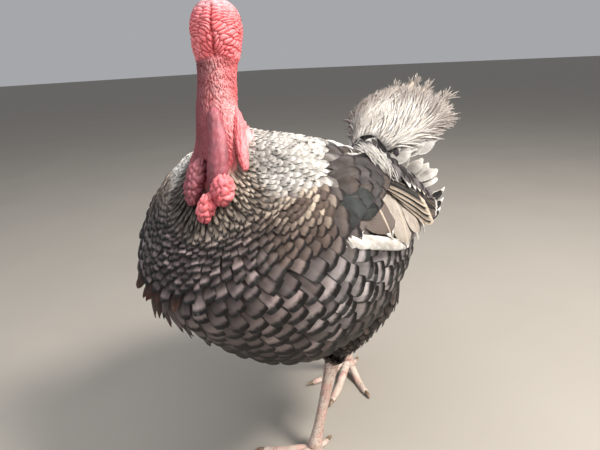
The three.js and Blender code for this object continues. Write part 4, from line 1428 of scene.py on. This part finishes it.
def tail_coat():
    """Slate coverts with white edges above, soft white ones past them and below, and the plume."""
    upper = fan(TAIL_RISE - 0.05, 135, TAIL_SPREAD * 1.6, 1, 25, 66, 8, 0.2)
    lower = fan(TAIL_RISE - 0.2, 130, TAIL_SPREAD * 1.5, -1, -44, 84, 14, 0.1)
    tail_rows("tail_coverts", upper, 1, (0.04, 0.36), lambda own, u: SLATE * 0.75, WHITE, 0.16, 0.06,
              ["tail_coverts_upper"], 10.0)
    tail_rows("vent_plumes", lower, -1, (0.1, 0.56),
              lambda own, u: blend(SLATE * 0.6, WHITE, smoothstep(0.4, 0.6, u + 0.1 * own)), WHITE,
              0.2, 0.2, ["tail_coverts_under"])
    tail_rows("tail_white", upper, 1, (0.3, 0.66), lambda own, u: WHITE * 0.9, WHITE * 0.9, 0.2, 0.3,
              [], 17.0, depth=2.5, lift=0.8, tip=0.2, blunt=1.8, camber=0.03)
    tail_down(upper)
    tail_plume()


tail_coat()


# ------------------------------------------------------------------ thighs
def thigh_coat(side, leg):
    """Small loose feathers down a thigh, where it stands clear of the trunk."""
    surface = tube(leg["thigh"])
    roots = scatter(surface, (0.3, 2.93), (0, TURN_ROUND),
                    lambda points: 9 + 5 * smoothstep(190, 250, points[..., 2]), anywhere, 1)
    free = ~in_trunk(roots[2])
    u, v, points, apart = (value[free] for value in roots)
    n = len(u)
    own = rng.random(n)
    look = paint(blend(CHARCOAL * 0.75, GREY_BROWN * 0.4, own), own, SOOT, 0.15)
    look |= {"depth": 5.0, "lift": 0.5 + 1.5 * rng.random(n), "tip": 0.4, "blunt": 2.6, "round": 0.2,
             "camber": 0.1, "fray": 0.12, "roll": (rng.random(n) - 0.5) * 0.1}
    path = follow(surface, u, v, apart * 2.5, (rng.random(n) - 0.5) * 0.25, 1, 1)
    coat = Piece()
    add_vanes(coat, surface, path, apart * 1.4, look, np.stack([v / TURN_ROUND, u / 3], -1))
    coat.build(f"thigh_feathers_{side}", VANE, "plumage")


for side, leg in LEGS.items():
    thigh_coat(side, leg)


# ------------------------------------------------------------------ eyes, bill, claws and spurs
def eyeball(sign, name, node):
    """A round eye whose pole looks outward: black pupil, streaked brown iris and a dark rim."""
    def ball(t, angle):
        """A point of a sphere, t from its outer pole and angle round that pole."""
        out, side = EYE_RADIUS * np.cos(t), EYE_RADIUS * np.sin(t)
        return turned(sign * (EYE[0] + out), EYE[1] - sign * side * np.cos(angle),
                      EYE[2] + side * np.sin(angle))

    def shape(t, angle, points):
        """A slight bulge over the pupil, and rings of tint round the pole."""
        streaks = 0.5 + 0.5 * np.sin(31 * angle + 4 * np.sin(5 * angle))
        rgb = blend(IRIS_DARK, IRIS_LIGHT, smoothstep(0.8, 0.4, t) * (0.6 + 0.4 * streaks))
        rgb = blend(rgb, PUPIL, smoothstep(0.36, 0.32, t))
        rgb = blend(rgb, EYE_RIM, smoothstep(0.78, 0.86, t))
        return 0.35 * bell(t, 0.7), with_alpha(rgb, 1.0)
    piece = Piece()
    solid_tube(piece, ball, PI - 0.02, 60, 48, shape, WHOLE, 0.02)
    piece.build(name, WET, "eye", [node])


def bill_shape(nostril, seed):
    """Horn with growth lines and, if nostril is 1, a slit on each side; reddish at its root."""
    def shape(t, angle, points):
        """Sine lines that fade at the root, and a dip inside a swelling for each nostril."""
        side = np.minimum(np.abs(angle - 0.62), np.abs(angle - (PI - 0.62)))
        slit = bell((t - 0.75) * 12, 2.8) * bell(side * 7, 1.1) * nostril
        ring = bell((t - 0.75) * 12, 4.2) * bell(side * 7, 2.4) * nostril
        lines = np.sin(points[..., 2] * 2.2 + 7 * t + noise(points, 6, seed))
        root = smoothstep(1.6, 0.6, t + 0.2 * noise(points, 4, seed))
        rgb = blend(HORN_TINT * 1.15, BILL_ROOT, 0.75 * root)
        rgb = blend(rgb, BILL_TIP, smoothstep(2.4, 3.8, t) * 0.7)
        # painted shade inside each nostril's slit
        rgb = rgb * (1 - 0.85 * slit)[..., None]
        return 0.8 * ring - 2.4 * slit + 0.06 * lines * (1 - root), with_alpha(rgb, 1.0)
    return shape


def horn_shape(seed):
    """Claw horn: fine growth rings, dark at the root and paler to the tip."""
    def shape(t, angle, points):
        """A sine of t, and none at the floor."""
        rgb = blend(HORN_TINT * 0.55, HORN_TINT * 1.1, smoothstep(0.3, 2.0, t))
        rgb = rgb * (0.9 + 0.2 * noise(points, 3, seed))[..., None]
        return np.where(points[..., 2] < 0.5, 0, 0.08 * np.sin(t * 42)), with_alpha(rgb, 1.0)
    return shape


WHOLE = (0, 0, 1, 1)             # a piece with the whole bake map to itself
eyeball(1, "eyeball_left", "eye_left")
eyeball(-1, "eyeball_right", "eye_right")
for i, (name, rows, node) in enumerate((("upper_bill", UPPER_BILL, "bill_upper"),
                                        ("lower_bill", LOWER_BILL, "bill_lower"))):
    piece = Piece()
    solid_tube(piece, tube(rows, turned), len(rows) - 1, 60, 48, bill_shape(1 - i, 61 + i), WHOLE)
    piece.build(name, HORN, "horn", [node])
claws, spurs = Piece(), Piece()
for i, (side, leg) in enumerate(LEGS.items()):
    for j, toe in enumerate(TOES.values()):
        solid_tube(claws, floored(tube(toe_rows(leg, toe)[1])), 2, 26, 16, horn_shape(70 + j),
                   (0.25 * j, 0.5 * i, 0.23, 0.48))
    inward = leg["inward"]
    x, y, z = spline(leg["shank"], SPUR_AT)[:3]
    rows = [[x, y + 4, z, 5, 5], [x + 4 * inward, y + 15, z + 1, 3.2, 3.2],
            [x + 6 * inward, y + 22, z + 5, 0.8, 0.8]]
    solid_tube(spurs, tube(rows), 2, 26, 18, horn_shape(80 + i), (0.5 * i, 0, 0.48, 1))
claws.build("claws", HORN, "horn", [f"claw_{side}_{name}" for side in LEGS for name in TOES])
spurs.build("spurs", HORN, "horn", [f"spur_{side}" for side in LEGS])


# ------------------------------------------------------------------ camera, floor and light
CAMERA_AT = (454, -569, 600)     # in the bird's own frame, mm
AZIMUTH, PITCH, ROLL = 42, 18.7, 3
LENS, SENSOR_WIDTH, NEAREST = 28.8, 36, 0.01
FLOOR_SIZE = 80.0


def aim(name, data, at, azimuth, pitch, roll=0):
    """Places an object at a point of the bird's frame, looking down by pitch along azimuth (degrees)."""
    azimuth, pitch, roll = (math.radians(angle) for angle in (azimuth, pitch, roll))
    level = np.array([-math.sin(azimuth), math.cos(azimuth), 0])
    side = np.array([math.cos(azimuth), math.sin(azimuth), 0])
    ahead = level * math.cos(pitch) - np.array([0, 0, math.sin(pitch)])
    top = level * math.sin(pitch) + np.array([0, 0, math.cos(pitch)])
    right = side * math.cos(roll) - top * math.sin(roll)
    up = side * math.sin(roll) + top * math.cos(roll)
    thing = bpy.data.objects.new(name, data)
    columns = (*right, 0), (*up, 0), (*-ahead, 0), (*(np.array(at) * MM + SHIFT), 1)
    thing.matrix_world = Matrix(columns).transposed()
    scene.collection.objects.link(thing)
    return thing


camera_data = bpy.data.cameras.new("camera")
camera_data.lens = LENS
camera_data.sensor_width = SENSOR_WIDTH
camera_data.clip_start = NEAREST
scene.camera = aim("camera", camera_data, CAMERA_AT, AZIMUTH, PITCH, ROLL)


def softbox(name, at, azimuth, pitch, size, power, tint):
    """A square studio light at a point of the bird's frame; size in metres, power in watts."""
    data = bpy.data.lights.new(name, "AREA")
    data.size = size
    data.energy = power
    data.color = tint
    aim(name, data, at, azimuth, pitch)


softbox("key", (1350, 380, 2150), 109, 50.5, 0.6, 105, (1.0, 0.95, 0.88))
softbox("top", (150, -500, 2700), 0, 90, 2.6, 40, (0.93, 0.96, 1.0))
softbox("fill", (-300, -2300, 1300), -8, 25, 2.4, 18, (0.86, 0.92, 1.0))
softbox("side", (2300, -500, 1100), 78, 20, 1.6, 34, (1.0, 0.98, 0.95))

scene.world = bpy.data.worlds.new("studio")
scene.world.use_nodes = True
backdrop = scene.world.node_tree.nodes["Background"].inputs
backdrop["Color"].default_value = (0.84, 0.86, 0.90, 1)
backdrop["Strength"].default_value = 0.45

floor_mesh = bpy.data.meshes.new("floor")
half = FLOOR_SIZE / 2
floor_mesh.from_pydata([(-half, -half, 0), (half, -half, 0), (half, half, 0), (-half, half, 0)],
                       [], [(0, 1, 2, 3)])
floor = bpy.data.objects.new("floor", floor_mesh)
scene.collection.objects.link(floor)
ground = Nodes("pale_floor")
grain = ground.cloud(3, 3)
floor_mesh.materials.append(ground.finish(
    ground.mix((0.27, 0.245, 0.215), (0.31, 0.285, 0.25), grain), 0.8 + 0.1 * grain))
